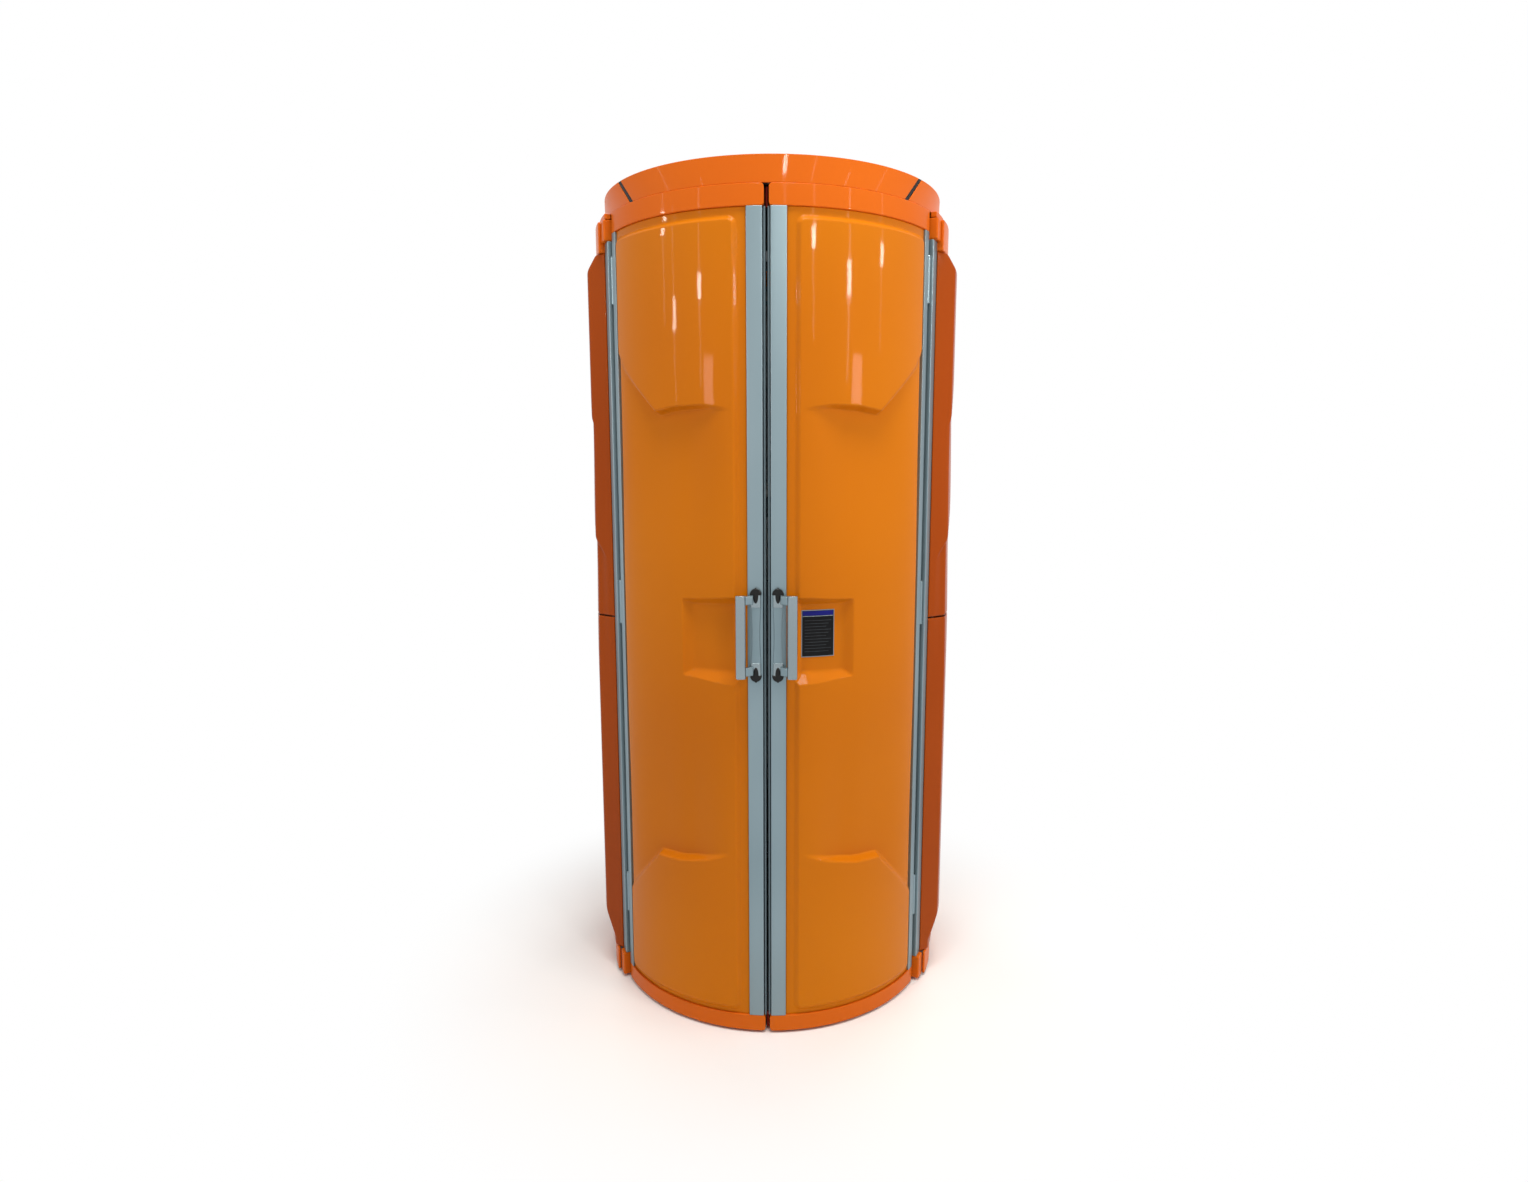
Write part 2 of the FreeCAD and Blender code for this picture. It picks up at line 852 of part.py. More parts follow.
def fan_rotor(label, side):
    body = new_body(label)
    place_fan(body, side)
    ring_pad(body, "hub_radius", "shaft_bore", "hub_low", "hub_high - hub_low")
    drawing = new_sketch(body, "YZ_Plane", lift="blade_root")
    draw_shape(drawing, [
        ("- blade_half", "blade_low"),
        ("- blade_half + blade_thick", "blade_low"),
        ("blade_half", "blade_high"),
        ("blade_half - blade_thick", "blade_high"),
    ])
    blade = extrude(body, drawing, "blade_tip - blade_root")
    repeat(body, [blade], "Z_Axis", "blade_count", ROUND)
    node(body)


housing = fan_housing()
node(fuse("fan_housings", [housing, mirror("fan_housing_copy", housing)]))
fan_rotor("fan_rotor_right", "")
fan_rotor("fan_rotor_left", "-")


# Lamps: trays with holder strips, tubes and clear windows, in the cabin and
# in each door.

TRAY = [
    ("rail_in", "tray_low"),
    ("rail_in", "tray_high"),
    ("tray_lip", "tray_high"),
    ("tray_lip", "tray_high - tray_plate"),
    ("tray_in", "tray_high - tray_plate"),
    ("tray_in", "tray_low + tray_plate"),
    ("tray_lip", "tray_low + tray_plate"),
    ("tray_lip", "tray_low"),
]
LAMP_LOW = "tray_low + tray_plate + holder_high"
LAMP_LONG = "tray_high - tray_low - tray_plate - tray_plate - holder_high - holder_high"


def lamp_tray(label, turn, end, walls):
    """A curved tray with thin walls across it and a holder strip at each end."""
    body = sector(label, turn, end, TRAY)
    for offset in walls:
        revolve(body, box_corners("tray_lip", "tray_in + cut_past", "tray_low", "tray_high"),
                "tray_side", offset)
    strips = (
        ("tray_low + tray_plate", LAMP_LOW),
        ("tray_high - tray_plate - holder_high", "tray_high - tray_plate"),
    )
    for low, high in strips:
        revolve(body, box_corners("holder_in", "holder_out", low, high), f"{end} - {turn}")
    return body


def lamps(label, turn, span, count):
    body = new_body(label, turn)
    drawing = new_sketch(body, "XY_Plane", lift=LAMP_LOW)
    draw_circle(drawing, "lamp_radius", "lamp_ring")
    tube = extrude(body, drawing, LAMP_LONG)
    repeat(body, [tube], "Z_Axis", count, span)
    return body


def window(label, turn, end):
    return sector(label, turn, end,
                  box_corners("window_in", "window_out", "tray_low + tray_plate",
                              "tray_high - tray_plate"))


TRAY_END = f"{ROUND} - tray_turn"
node(lamp_tray("cabin_lamp_tray", "tray_turn", TRAY_END, [
    None,
    "rib_turn - tray_turn",
    f"{ROUND} - rib_turn - tray_side - tray_turn",
    f"{ROUND} - tray_turn - tray_side - tray_turn",
]))
side_lamps = lamps("side_lamps", "lamp_turn", "lamp_span", "lamp_count")
node(fuse("cabin_lamps", [side_lamps, mirror("side_lamps_copy", side_lamps)]))
side_window = window("side_window", "cabin_window_turn", "rib_turn")
node(fuse("cabin_window", [side_window, mirror("side_window_copy", side_window)]))

pair(lamp_tray("door_lamp_tray_right", "door_tray_turn", "door_tray_end", [
    None,
    "door_tray_end - door_tray_turn - tray_side",
]))
pair(lamps("door_lamps_right", "door_lamp_turn", "door_lamp_span", "door_lamp_count"))
pair(window("door_window_right", "door_window_turn", "door_window_end"))


# Doors: moulded shell with raised pads, a scooped waist and a handle pocket,
# between two rails and two aluminium stiles.

pair(sector("door_top_rail_right", "rail_turn", "door_turn",
            box_corners("rail_in", "rail_out", "high_rail_low", "door_high")))
pair(sector("door_bottom_rail_right", "rail_turn", "door_turn",
            box_corners("rail_in", "rail_out", "door_low", "low_rail_top")))
for label, turn, end in (
    ("meeting_stile_right", "seam_turn", "stile_turn"),
    ("hinge_stile_right", "skin_end", "door_turn"),
):
    stile = sector(label, turn, end,
                   box_corners("rail_in", "rail_out", "low_rail_top", "high_rail_low"))
    revolve(stile,
            box_corners("rail_in + stile_wall", "rail_out - stile_wall", "0", "ring_high"),
            f"{end} - {turn} - stile_side - stile_side", "stile_side", "PartDesign::Groove")
    pair(stile)
pair(sector("seam_gasket_right", "gasket_turn", "seam_turn",
            box_corners("gasket_in", "gasket_out", "low_rail_top", "high_rail_low")))

moulding = sector("moulding", "stile_turn", "skin_end",
                  box_corners("skin_in", "skin_out", "low_rail_top", "high_rail_low"))
revolve(moulding, box_corners("skin_in", "raised_out", "field_low", "field_high"),
        "field_end - field_turn", "field_turn - stile_turn")
revolve(moulding, box_corners("pocket_out", "raised_out + past", "pocket_low", "pocket_high"),
        "pocket_end - field_turn", "field_turn - stile_turn", "PartDesign::Groove")
waist = new_body("waist")
drawing = new_sketch(waist, "XZ_Plane")
draw_shape(drawing, [
    ("waist_near", "waist_low"),
    ("waist_corner_low", "waist_low"),
    ("waist_far", "waist_far_low"),
    ("waist_far", "waist_far_high"),
    ("waist_corner_high", "waist_high"),
    ("waist_near", "waist_high"),
])
extrude(waist, drawing, "raised_out + past")
waist_core = cylinder("waist_core", "waist_out", "0", "ring_high")
pair(cut("door_shell_right", moulding, cut("waist_cutter", waist, waist_core)))

node(sector("notice_plate", "plate_turn", "plate_end",
            box_corners("pocket_out", "plate_out", "plate_low", "plate_high")))


# Pull handles: a base plate with two arms, a bevelled grip and two caps.

mount = sector("handle_mount_right", "pull_turn", "pull_end",
               box_corners("rail_out", "pull_plate_out", "pull_low", "pull_high"))
for low in ("pull_low + arm_inset", "pull_high - arm_inset - arm_high"):
    drawing = new_sketch(mount, "XY_Plane", lift=low)
    draw_shape(drawing, [
        ("rail_out + arm_root", "arm_near"),
        ("arm_in", "arm_near"),
        ("grip_in", "grip_near"),
        ("grip_in", "grip_far"),
        ("arm_out", "grip_far"),
        ("arm_foot", "arm_far"),
        ("rail_out + arm_root", "arm_far"),
    ])
    extrude(mount, drawing, "arm_high")
pair(mount)

grip = new_body("handle_grip_right", "pull_turn")
drawing = new_sketch(grip, "XY_Plane", lift="grip_low")
draw_shape(drawing, [
    ("grip_in", "grip_near + grip_bevel"),
    ("grip_in + grip_bevel", "grip_near"),
    ("grip_out - grip_bevel", "grip_near"),
    ("grip_out", "grip_near + grip_bevel"),
    ("grip_out", "grip_far - grip_bevel"),
    ("grip_out - grip_bevel", "grip_far"),
    ("grip_in + grip_bevel", "grip_far"),
    ("grip_in", "grip_far - grip_bevel"),
])
extrude(grip, drawing, "grip_high - grip_low")
pair(grip)

caps = new_body("handle_caps_right", "pull_turn")
for high, tongue_low, tongue_high in (
    ("cap_low", "cap_low", "cap_low + tongue_long"),
    ("cap_high", "cap_high - tongue_long", "cap_high"),
):
    drawing = new_sketch(caps, "YZ_Plane", lift="rail_out")
    draw_circle(drawing, "cap_radius", "cap_side", high)
    extrude(caps, drawing, "cap_thick")
    drawing = new_sketch(caps, "YZ_Plane", lift="pull_plate_out")
    draw_shape(drawing, box_corners("cap_side - tongue_half", "cap_side + tongue_half",
                                    tongue_low, tongue_high))
    extrude(caps, drawing, "tongue_thick")
pair(caps)


# Hinges: a door knuckle between two fixed knuckles, three times up each side,
# on loose pins.

FIRST = "hinge_low"
SECOND = "hinge_low + knuckle_high + knuckle_gap"
THIRD = "hinge_low + knuckle_high + knuckle_high + knuckle_gap + knuckle_gap"


def knuckles(label, heights, leaf_sweep, leaf_offset):
    body = new_body(label, "door_turn")
    parts = []
    for low in heights:
        drawing = new_sketch(body, "XY_Plane", lift=low)
        draw_circle(drawing, "knuckle_radius", "hinge_x", "hinge_y")
        parts.append(extrude(body, drawing, "knuckle_high"))
        leaf = box_corners("leaf_in", "leaf_out", low, f"{low} + knuckle_high")
        parts.append(revolve(body, leaf, leaf_sweep, leaf_offset))
    repeat(body, parts, "Z_Axis", "hinge_count", "hinge_span", round_axis=False)
    drawing = new_sketch(body, "XY_Plane")
    draw_circle(drawing, "bore_radius", "hinge_x", "hinge_y")
    extrude(body, drawing, "ring_high", "PartDesign::Pocket", back=True)
    return body


pair(knuckles("hinge_knuckles_right", [SECOND], "hinge_turn - door_turn", None))
bracket = knuckles("hinge_bracket", [FIRST, THIRD], "post_turn - hinge_turn",
                   "hinge_turn - door_turn")
node(fuse("hinge_brackets", [bracket, mirror("hinge_bracket_copy", bracket)]))

pins = new_body("pins", "door_turn")
drawing = new_sketch(pins, "XY_Plane", lift=FIRST)
draw_circle(drawing, "pin_radius", "hinge_x", "hinge_y")
shank = extrude(pins, drawing, f"{THIRD} + knuckle_high - hinge_low")
drawing = new_sketch(pins, "XY_Plane", lift=f"{THIRD} + knuckle_high")
draw_circle(drawing, "head_radius", "hinge_x", "hinge_y")
head = extrude(pins, drawing, "head_high")
repeat(pins, [shank, head], "Z_Axis", "hinge_count", "hinge_span", round_axis=False)
node(fuse("hinge_pins", [pins, mirror("pins_copy", pins)]))


# Equipment inside: ballast box behind the lamps, control panel on the rear
# column, and two grips under the ceiling.

node(block("ballast_box", "- ballast_half", "ballast_half + ballast_half", "band_root",
           "ballast_deep", "post_low", "ballast_tall"))

panel = block("panel_block", "- panel_half", "panel_half + panel_half", "panel_front",
              "panel_past", "panel_low", "panel_tall")
panel = common("panel_round", panel, cylinder("panel_core", "panel_ring", "0", "ring_high"))
holes = []
for label, high in (("start_button", "start_high"), ("stop_button", "stop_high")):
    button = lay_along_y(cylinder(label, "button_radius", high, "button_long", y="button_front"))
    node(button)
    holes.append(lay_along_y(cylinder(f"{label}_hole", "button_hole", high, "button_long",
                                      y="panel_front")))
node(cut("control_panel", panel, fuse("button_holes", holes)))
node(block("display_window", "- screen_half", "screen_half + screen_half", "screen_front",
           "screen_thick", "screen_low", "screen_tall"))

bars = []
for side in ("", "- "):
    for place in ("grip_bar_near", "grip_bar_far"):
        bars.append(cylinder("grip_post", "grip_bar_radius", "grip_bar_low",
                             "ring_low - grip_bar_low", f"{side}grip_bar_x", place))
    bars.append(lay_along_y(cylinder("grip_bar", "grip_bar_radius", "grip_bar_low",
                                     "grip_bar_near - grip_bar_far", f"{side}grip_bar_x",
                                     "grip_bar_far")))
    for place in ("grip_bar_near", "grip_bar_far"):
        corner = doc.addObject("Part::Sphere", "Sphere")
        bind(corner, "Radius", "grip_bar_radius")
        for axis, text in zip("xyz", (f"{side}grip_bar_x", place, "grip_bar_low")):
            bind(corner, f"Placement.Base.{axis}", text)
        bars.append(corner)
node(fuse("ceiling_grips", bars))


# Mains supply on the back: box, rocker switch on its own pin, cable gland.

supply = block("supply_block", "- supply_half", "supply_half + supply_half", "supply_root",
               "supply_back - supply_root", "supply_low", "supply_tall")
pocket = block("rocker_pocket", "- pocket_half", "pocket_half + pocket_half",
               "supply_back - rocker_deep", "rocker_deep + cut_past", "rocker_high - pocket_reach",
               "pocket_reach + pocket_reach")
cable_hole = cylinder("cable_hole", "gland_bore", "supply_low - cut_past",
                      "gland_hole + cut_past", y="gland_y")
round_back = cylinder("round_back", "back_out", "0", "ring_high")
supply = cut("supply_cut", supply, fuse("supply_tools", [pocket, cable_hole, round_back]))


def along_x(label, radius, half):
    item = cylinder(label, radius, "rocker_high", f"{half} + {half}", f"- {half}", "rocker_axis")
    place = item.Placement
    place.Rotation = FreeCAD.Rotation(FreeCAD.Vector(0, 1, 0), 90)
    item.Placement = place
    return item


node(fuse("supply_box", [supply, along_x("rocker_pin", "rocker_pin_radius", "pocket_half + pin_seat")]))
rocker = block("rocker_block", "- rocker_half", "rocker_half + rocker_half",
               "rocker_axis - rocker_in", "rocker_in + rocker_out", "rocker_high - rocker_reach",
               "rocker_reach + rocker_reach")
node(cut("isolator_rocker", rocker, along_x("rocker_bore", "rocker_pin_bore", "pocket_half + pin_seat")))

gland = new_body("cable_gland")
bind(gland, "Placement.Base.y", "gland_y")
ring_pad(gland, "gland_radius", "gland_bore", "supply_low - gland_long", "gland_long")
node(gland)


# Check every object and write one file for each node.

doc.recompute()
for item in doc.Objects:
    if "Invalid" in item.State or "Error" in item.State:
        raise RuntimeError(f"{item.Name} {item.Label} failed: {item.State}")
os.makedirs("parts", exist_ok=True)
for item in NODES:
    shape = item.Shape
    if shape.isNull() or not shape.isValid() or not shape.Solids:
        raise RuntimeError(f"{item.Label} has no valid solid")
    shape.exportStep(f"parts/{item.Label}.step")
    print(item.Label, len(shape.Solids), round(shape.Volume / 1000))
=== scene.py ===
import math
from collections import namedtuple

import bmesh
import bpy
from mathutils import Matrix, Vector


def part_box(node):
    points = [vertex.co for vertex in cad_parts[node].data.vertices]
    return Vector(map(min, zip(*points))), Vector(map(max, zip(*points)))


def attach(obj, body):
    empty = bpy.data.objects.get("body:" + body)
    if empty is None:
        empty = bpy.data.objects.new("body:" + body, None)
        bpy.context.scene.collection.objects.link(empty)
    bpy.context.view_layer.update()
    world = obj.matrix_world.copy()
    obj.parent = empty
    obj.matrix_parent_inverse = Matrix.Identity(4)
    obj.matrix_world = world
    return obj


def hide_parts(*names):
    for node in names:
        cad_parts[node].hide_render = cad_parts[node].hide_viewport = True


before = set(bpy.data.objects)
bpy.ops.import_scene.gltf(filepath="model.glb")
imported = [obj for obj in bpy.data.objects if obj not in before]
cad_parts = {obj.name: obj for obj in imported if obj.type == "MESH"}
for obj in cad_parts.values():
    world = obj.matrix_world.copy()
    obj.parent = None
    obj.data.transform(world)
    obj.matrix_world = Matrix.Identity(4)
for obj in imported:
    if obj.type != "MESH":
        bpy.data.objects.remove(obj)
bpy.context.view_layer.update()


# Door rails: curved mouldings of glossy red-orange ABS that close each door
# above and below its panel. Their long edges are softly rounded, and the
# corners beside the seam in the middle are rounded more.

Span = namedtuple("Span", "near far low high start end")


def measure(node):
    """Radii and heights in mm and turns from the front in degrees, of a CAD node."""
    points = [vert.co * 1000 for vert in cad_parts[node].data.vertices]
    radii = [math.hypot(point.x, point.y) for point in points]
    turns = [math.degrees(math.atan2(point.x, -point.y)) for point in points]
    heights = [point.z for point in points]
    return Span(min(radii), max(radii), min(heights), max(heights), min(turns), max(turns))


def on_booth(radius, turn, high):
    """A place from radius in mm, turn from the front in degrees and height in mm."""
    there = math.radians(turn)
    return Vector((radius * math.sin(there), -radius * math.cos(there), high)) / 1000


def bar_section(inner, outer, low, high):
    """The outline of a bar, as radii and heights in mm."""
    return [(inner, low), (outer, low), (outer, high), (inner, high)]


def turned_solid(outline, start, end, step=1.5):
    """An outline of radius and height in mm, spun from one turn to another."""
    bm = bmesh.new()
    corners = [bm.verts.new(on_booth(radius, start, high)) for radius, high in outline]
    face = bm.faces.new(corners)
    full = end - start >= 360
    geom = corners + list(face.edges) + ([] if full else [face])
    if full:
        bmesh.ops.delete(bm, geom=[face], context="FACES_ONLY")
    bmesh.ops.spin(bm, geom=geom, cent=(0, 0, 0), axis=(0, 0, 1), dvec=(0, 0, 0),
                   angle=math.radians(end - start),
                   steps=max(2, math.ceil((end - start) / step)),
                   use_merge=full, use_normal_flip=False, use_duplicate=False)
    bmesh.ops.remove_doubles(bm, verts=bm.verts, dist=1e-6)
    bmesh.ops.recalc_face_normals(bm, faces=bm.faces)
    return bm


def soften(bm, width_mm, segments=3, angle=25):
    """Round every edge sharper than the angle."""
    sharp = [edge for edge in bm.edges
             if edge.is_manifold and edge.calc_face_angle() > math.radians(angle)]
    bmesh.ops.bevel(bm, geom=sharp, offset=width_mm / 1000, segments=segments, profile=0.5,
                    affect="EDGES", clamp_overlap=True, material=-1)


def round_corners(bm, turn, width_mm):
    """Round the two corners where a curved bar ends at a turn."""
    def at_end(vert):
        return abs(math.degrees(math.atan2(vert.co.x, -vert.co.y)) - turn) < 0.01

    corners = [edge for edge in bm.edges if at_end(edge.verts[0]) and at_end(edge.verts[1])
               and abs(edge.verts[0].co.z - edge.verts[1].co.z) < 1e-6]
    bmesh.ops.bevel(bm, geom=corners, offset=width_mm / 1000, segments=6, profile=0.5,
                    affect="EDGES", clamp_overlap=True, material=-1)


def linear(hex_colour):
    """An sRGB hex colour as linear red, green, blue and alpha."""
    channels = []
    for place in (1, 3, 5):
        part = int(hex_colour[place:place + 2], 16) / 255
        channels.append(part / 12.92 if part <= 0.04045 else ((part + 0.055) / 1.055) ** 2.4)
    return (*channels, 1.0)


def add_node(tree, kind, inputs=None, **settings):
    """One node with its settings, and its inputs as values or as links."""
    node = tree.nodes.new(kind)
    for name, setting in settings.items():
        setattr(node, name, setting)
    for name, value in (inputs or {}).items():
        if isinstance(value, bpy.types.NodeSocket):
            tree.links.new(value, node.inputs[name])
        else:
            node.inputs[name].default_value = value
    return node


def new_material(name):
    """A material with an empty node tree."""
    material = bpy.data.materials.new(name)
    material.use_nodes = True
    material.node_tree.nodes.clear()
    return material


def speckle(size_mm, detail=2.0, stretch=(1, 1, 1)):
    """A pattern of noise on object coordinates, with blotches about size_mm across."""
    def pattern(tree):
        place = add_node(tree, "ShaderNodeTexCoord")
        drawn = add_node(tree, "ShaderNodeMapping",
                         {"Vector": place.outputs["Object"], "Scale": stretch})
        return add_node(tree, "ShaderNodeTexNoise",
                        {"Vector": drawn.outputs["Vector"], "Scale": 1000 / size_mm,
                         "Detail": detail}).outputs["Fac"]
    return pattern


SHADE_STOPS = (0.3, 0.7)


def surface(name, shades, sockets, blotches, relief, depth_mm, strength):
    """A material of two hex shades in a pattern, over a fine relief in another."""
    material = new_material(name)
    tree = material.node_tree
    ramp = add_node(tree, "ShaderNodeValToRGB", {"Fac": blotches(tree)})
    for stop, position, shade in zip(ramp.color_ramp.elements, SHADE_STOPS, shades):
        stop.position = position
        stop.color = linear(shade)
    lift = add_node(tree, "ShaderNodeBump", {"Height": relief(tree), "Distance": depth_mm / 1000,
                                             "Strength": strength})
    shader = add_node(tree, "ShaderNodeBsdfPrincipled",
                      {"Base Color": ramp.outputs["Color"], "Normal": lift.outputs["Normal"],
                       "Coat Normal": lift.outputs["Normal"], **sockets})
    add_node(tree, "ShaderNodeOutputMaterial", {"Surface": shader.outputs["BSDF"]})
    return material


def gloss_plastic(name, shades, wave_mm, depth_mm):
    """Polished plastic: even colour under a thin wet shine that wavers a little."""
    return surface(name, shades,
                   {"Roughness": 0.36, "IOR": 1.5, "Specular IOR Level": 0.05,
                    "Specular Tint": linear("#F0A860"), "Coat Weight": 0.2, "Coat IOR": 1.42,
                    "Coat Roughness": 0.045},
                   speckle(650, 1.0), speckle(wave_mm, 1.0), depth_mm, 1.0)


def finish_piece(name, bm, material, body, nodes=()):
    """A finished object from a bmesh: shaded, coloured, riding and named."""
    mesh = bpy.data.meshes.new(name)
    bm.to_mesh(mesh)
    bm.free()
    piece = bpy.data.objects.new(name, mesh)
    bpy.context.scene.collection.objects.link(piece)
    mesh.materials.append(material)
    for face in mesh.polygons:
        face.use_smooth = True
    piece.modifiers.new("even_shading", "WEIGHTED_NORMAL").keep_sharp = True
    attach(piece, body)
    if nodes:
        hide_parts(*nodes)
    return piece


SIDES = ("right", "left")


def sided(side, bm):
    """The shape as it is on the right, and mirrored on the left."""
    if side == "left":
        bmesh.ops.scale(bm, vec=(-1, 1, 1), verts=bm.verts)
        bmesh.ops.reverse_faces(bm, faces=bm.faces)
    return bm


# The gloss of polished ABS shows lamps as small bright streaks.
band_orange = gloss_plastic("gloss_abs_red_orange", ("#CF6114", "#D86A17"), 60, 0.12)
SEAM_HALF, SEAM_CORNER, RAIL_EDGE = 0.72, 9, 2.2
HEAD_RISE = 3.9
header = measure("door_top_rail_right")
kick = measure("door_bottom_rail_right")
for side in SIDES:
    for place, span, rise in (("top", header, HEAD_RISE), ("bottom", kick, 0)):
        rail = turned_solid(bar_section(span.near, span.far, span.low, span.high + rise),
                            SEAM_HALF, span.end)
        round_corners(rail, SEAM_HALF, SEAM_CORNER)
        soften(rail, RAIL_EDGE)
        finish_piece(f"door_{place}_rail_{side}.shown", sided(side, rail), band_orange,
                     f"door_{side}", [f"door_{place}_rail_{side}"])


# Closing fins: two short strips of ABS on the right-hand door that stand back
# in the seam between the rails and stop light from passing. Their dark red is
# painted shade: the orange of the seam's depths in shadow.

# The fins' dark red is painted shade, the seam's orange as it looks in shadow.
seam_shade_red = gloss_plastic("gloss_abs_red_painted_shade", ("#7A1606", "#8A1D08"), 60, 0.05)
FIN_BACK, FIN_THICK, FIN_OVER, FIN_EDGE = 8, 6, 0.3, 0.8
for place, span in (("top", header), ("bottom", kick)):
    fin_near = span.near + FIN_BACK
    fin = turned_solid(bar_section(fin_near, fin_near + FIN_THICK, span.low, span.high),
                       -FIN_OVER, header.start, step=0.3)
    soften(fin, FIN_EDGE, 2)
    finish_piece(f"seam_fin_{place}", fin, seam_shade_red, "door_right")


# Bands: the cabinet's rims, curved strips of the same ABS around the back and
# the sides. Small rounded blocks end them in front, over the hinge posts.

post = measure("hinge_post_right")
top_span = measure("top_band")
low_span = measure("bottom_band")
BAND_WALL, LOW_BAND_EDGE, TOP_BAND_EDGE = 8, 4, 3
CAP_INSET, CAP_START, CAP_END, CAP_EDGE = 0.4, 0.1, 1.1, 2.6
NUB_PROUD, NUB_TALL, NUB_EDGE = 10, 56, 4.5
band_in = top_span.far - BAND_WALL
nub_low = top_span.high - NUB_TALL

low_band = turned_solid(bar_section(band_in, low_span.far, low_span.low, low_span.high),
                        post.end, 360 - post.end)
soften(low_band, LOW_BAND_EDGE)
finish_piece("bottom_band.shown", low_band, band_orange, "cabinet",
             ["bottom_band"])

channel = [(top_span.near, top_span.low), (top_span.far, top_span.low),
           (top_span.far, top_span.high), (top_span.near, top_span.high),
           (top_span.near, top_span.high - BAND_WALL), (band_in, top_span.high - BAND_WALL),
           (band_in, top_span.low + BAND_WALL), (top_span.near, top_span.low + BAND_WALL)]
top_band = turned_solid(channel, post.end, 360 - post.end)
soften(top_band, TOP_BAND_EDGE)
finish_piece("top_band.shown", top_band, band_orange, "cabinet", ["top_band"])
for side in SIDES:
    cap = turned_solid(bar_section(top_span.near, top_span.far - CAP_INSET,
                                   top_span.low + CAP_INSET, top_span.high - CAP_INSET),
                       post.end + CAP_START, post.end + CAP_END, step=0.5)
    soften(cap, CAP_EDGE)
    finish_piece(f"top_band_cap_{side}", sided(side, cap), band_orange, "cabinet",
                 ["top_band"])
    for place, low, high, outer in (
            ("top", nub_low, top_span.high, post.far + NUB_PROUD),
            ("bottom", low_span.low, low_span.high, band_in)):
        nub = turned_solid(bar_section(top_span.near, outer, low, high), post.start, post.end,
                           step=0.7)
        soften(nub, NUB_EDGE, 4)
        finish_piece(f"{place}_band_end_{side}", sided(side, nub), band_orange, "cabinet",
                     [f"{place}_band"])


# Roof fascia: a thin upright ring of the same ABS in a front and a rear part.
# The two joints between them are slanted, like a lid's. A strip below the ring
# covers the edge of the roof deck.

ring = measure("roof_fascia_front")
SEAM_FOOT, SEAM_HEAD, SEAM_WIDE = 46.7, 54.3, 1.8
RING_DROP, RING_EDGE = 0.9, 1.6
DECK_LAP, DECK_GAP, DECK_FOOT, DECK_HEAD, DECK_EDGE = 1, 3, 0.2, 1.2, 2


def bend(bm, change):
    """Move every point by a rule on its radius, turn and height."""
    for vert in bm.verts:
        radius = math.hypot(vert.co.x, vert.co.y) * 1000
        turn = math.degrees(math.atan2(vert.co.x, -vert.co.y))
        vert.co = on_booth(*change(radius, turn, vert.co.z * 1000))
    return bm


def seam_at(high):
    """Turn of the fascia's slanted joint at a height."""
    return SEAM_FOOT + (SEAM_HEAD - SEAM_FOOT) * (high - ring.low) / (ring.high - ring.low)


def front_slant(radius, turn, high):
    return radius, turn * seam_at(high) / SEAM_HEAD, high


def rear_slant(radius, turn, high):
    from_back = turn % 360 - 180
    reach = 180 - seam_at(high) - SEAM_WIDE
    return radius, 180 + from_back * reach / (180 - SEAM_HEAD), high


ring_foot = ring.low - RING_DROP
deck_edge = turned_solid(bar_section(ring.far - DECK_LAP, band_in - DECK_GAP,
                                     top_span.high + DECK_FOOT, ring_foot + DECK_HEAD),
                         post.start, 360 - post.start)
soften(deck_edge, DECK_EDGE)
finish_piece("roof_deck_edge", deck_edge, band_orange, "cabinet")
for part, start, end, slant in (("front", -SEAM_HEAD, SEAM_HEAD, front_slant),
                                ("rear", SEAM_HEAD, 360 - SEAM_HEAD, rear_slant)):
    fascia = bend(turned_solid(bar_section(ring.near, ring.far, ring_foot, ring.high),
                               start, end), slant)
    soften(fascia, RING_EDGE)
    finish_piece(f"roof_fascia_{part}.shown", fascia, band_orange, "cabinet",
                 [f"roof_fascia_{part}"])


# Seam strips in the fascia: black EPDM rubber pushed into the two slanted
# joints from behind, a little below the orange surface.

def rubber(name, shades, roughness):
    """Extruded or moulded black polymer: dull, with a faint fine grain."""
    return surface(name, shades,
                   {"Roughness": roughness, "IOR": 1.5, "Specular IOR Level": 0.3},
                   speckle(2.5, 3.0), speckle(2.5, 3.0), 0.1, 0.4)


seam_black = rubber("extruded_epdm_black", ("#08090A", "#14171A"), 0.5)
STRIP_BACK, STRIP_SUNK, STRIP_LOW, STRIP_SHARE = 0.5, 1.1, 0.4, 0.45


def into_seam(radius, turn, high):
    """A strip from turn -1 to 1, fitted into the slanted joint."""
    return radius, seam_at(high) + SEAM_WIDE * (0.5 + turn * STRIP_SHARE), high


for side in SIDES:
    strip = turned_solid(bar_section(ring.near + STRIP_BACK, ring.far - STRIP_SUNK, ring_foot,
                                     ring.high - STRIP_LOW), -1, 1, step=1)
    finish_piece(f"fascia_seam_{side}", sided(side, bend(strip, into_seam)), seam_black,
                 "cabinet")


# Door panels: vacuum-formed acrylic on ABS, amber orange with a deep gloss.
# A raised field with soft edges carries an upper and a lower pad around a
# scooped waist, and a hand recess opens towards the stile.

def ease(value, low, high):
    """0 below low, 1 above high and a smooth rise between them."""
    part = min(1.0, max(0.0, (value - low) / (high - low)))
    return part * part * (3 - 2 * part)


def depth_in_box(x, y, x_low, x_high, y_low, y_high, corner):
    """Distance inside a rectangle with rounded corners, negative outside."""
    across = max(x_low + corner - x, x - x_high + corner)
    along = max(y_low + corner - y, y - y_high + corner)
    outside = math.hypot(max(across, 0), max(along, 0))
    return corner - outside - min(max(across, along), 0)


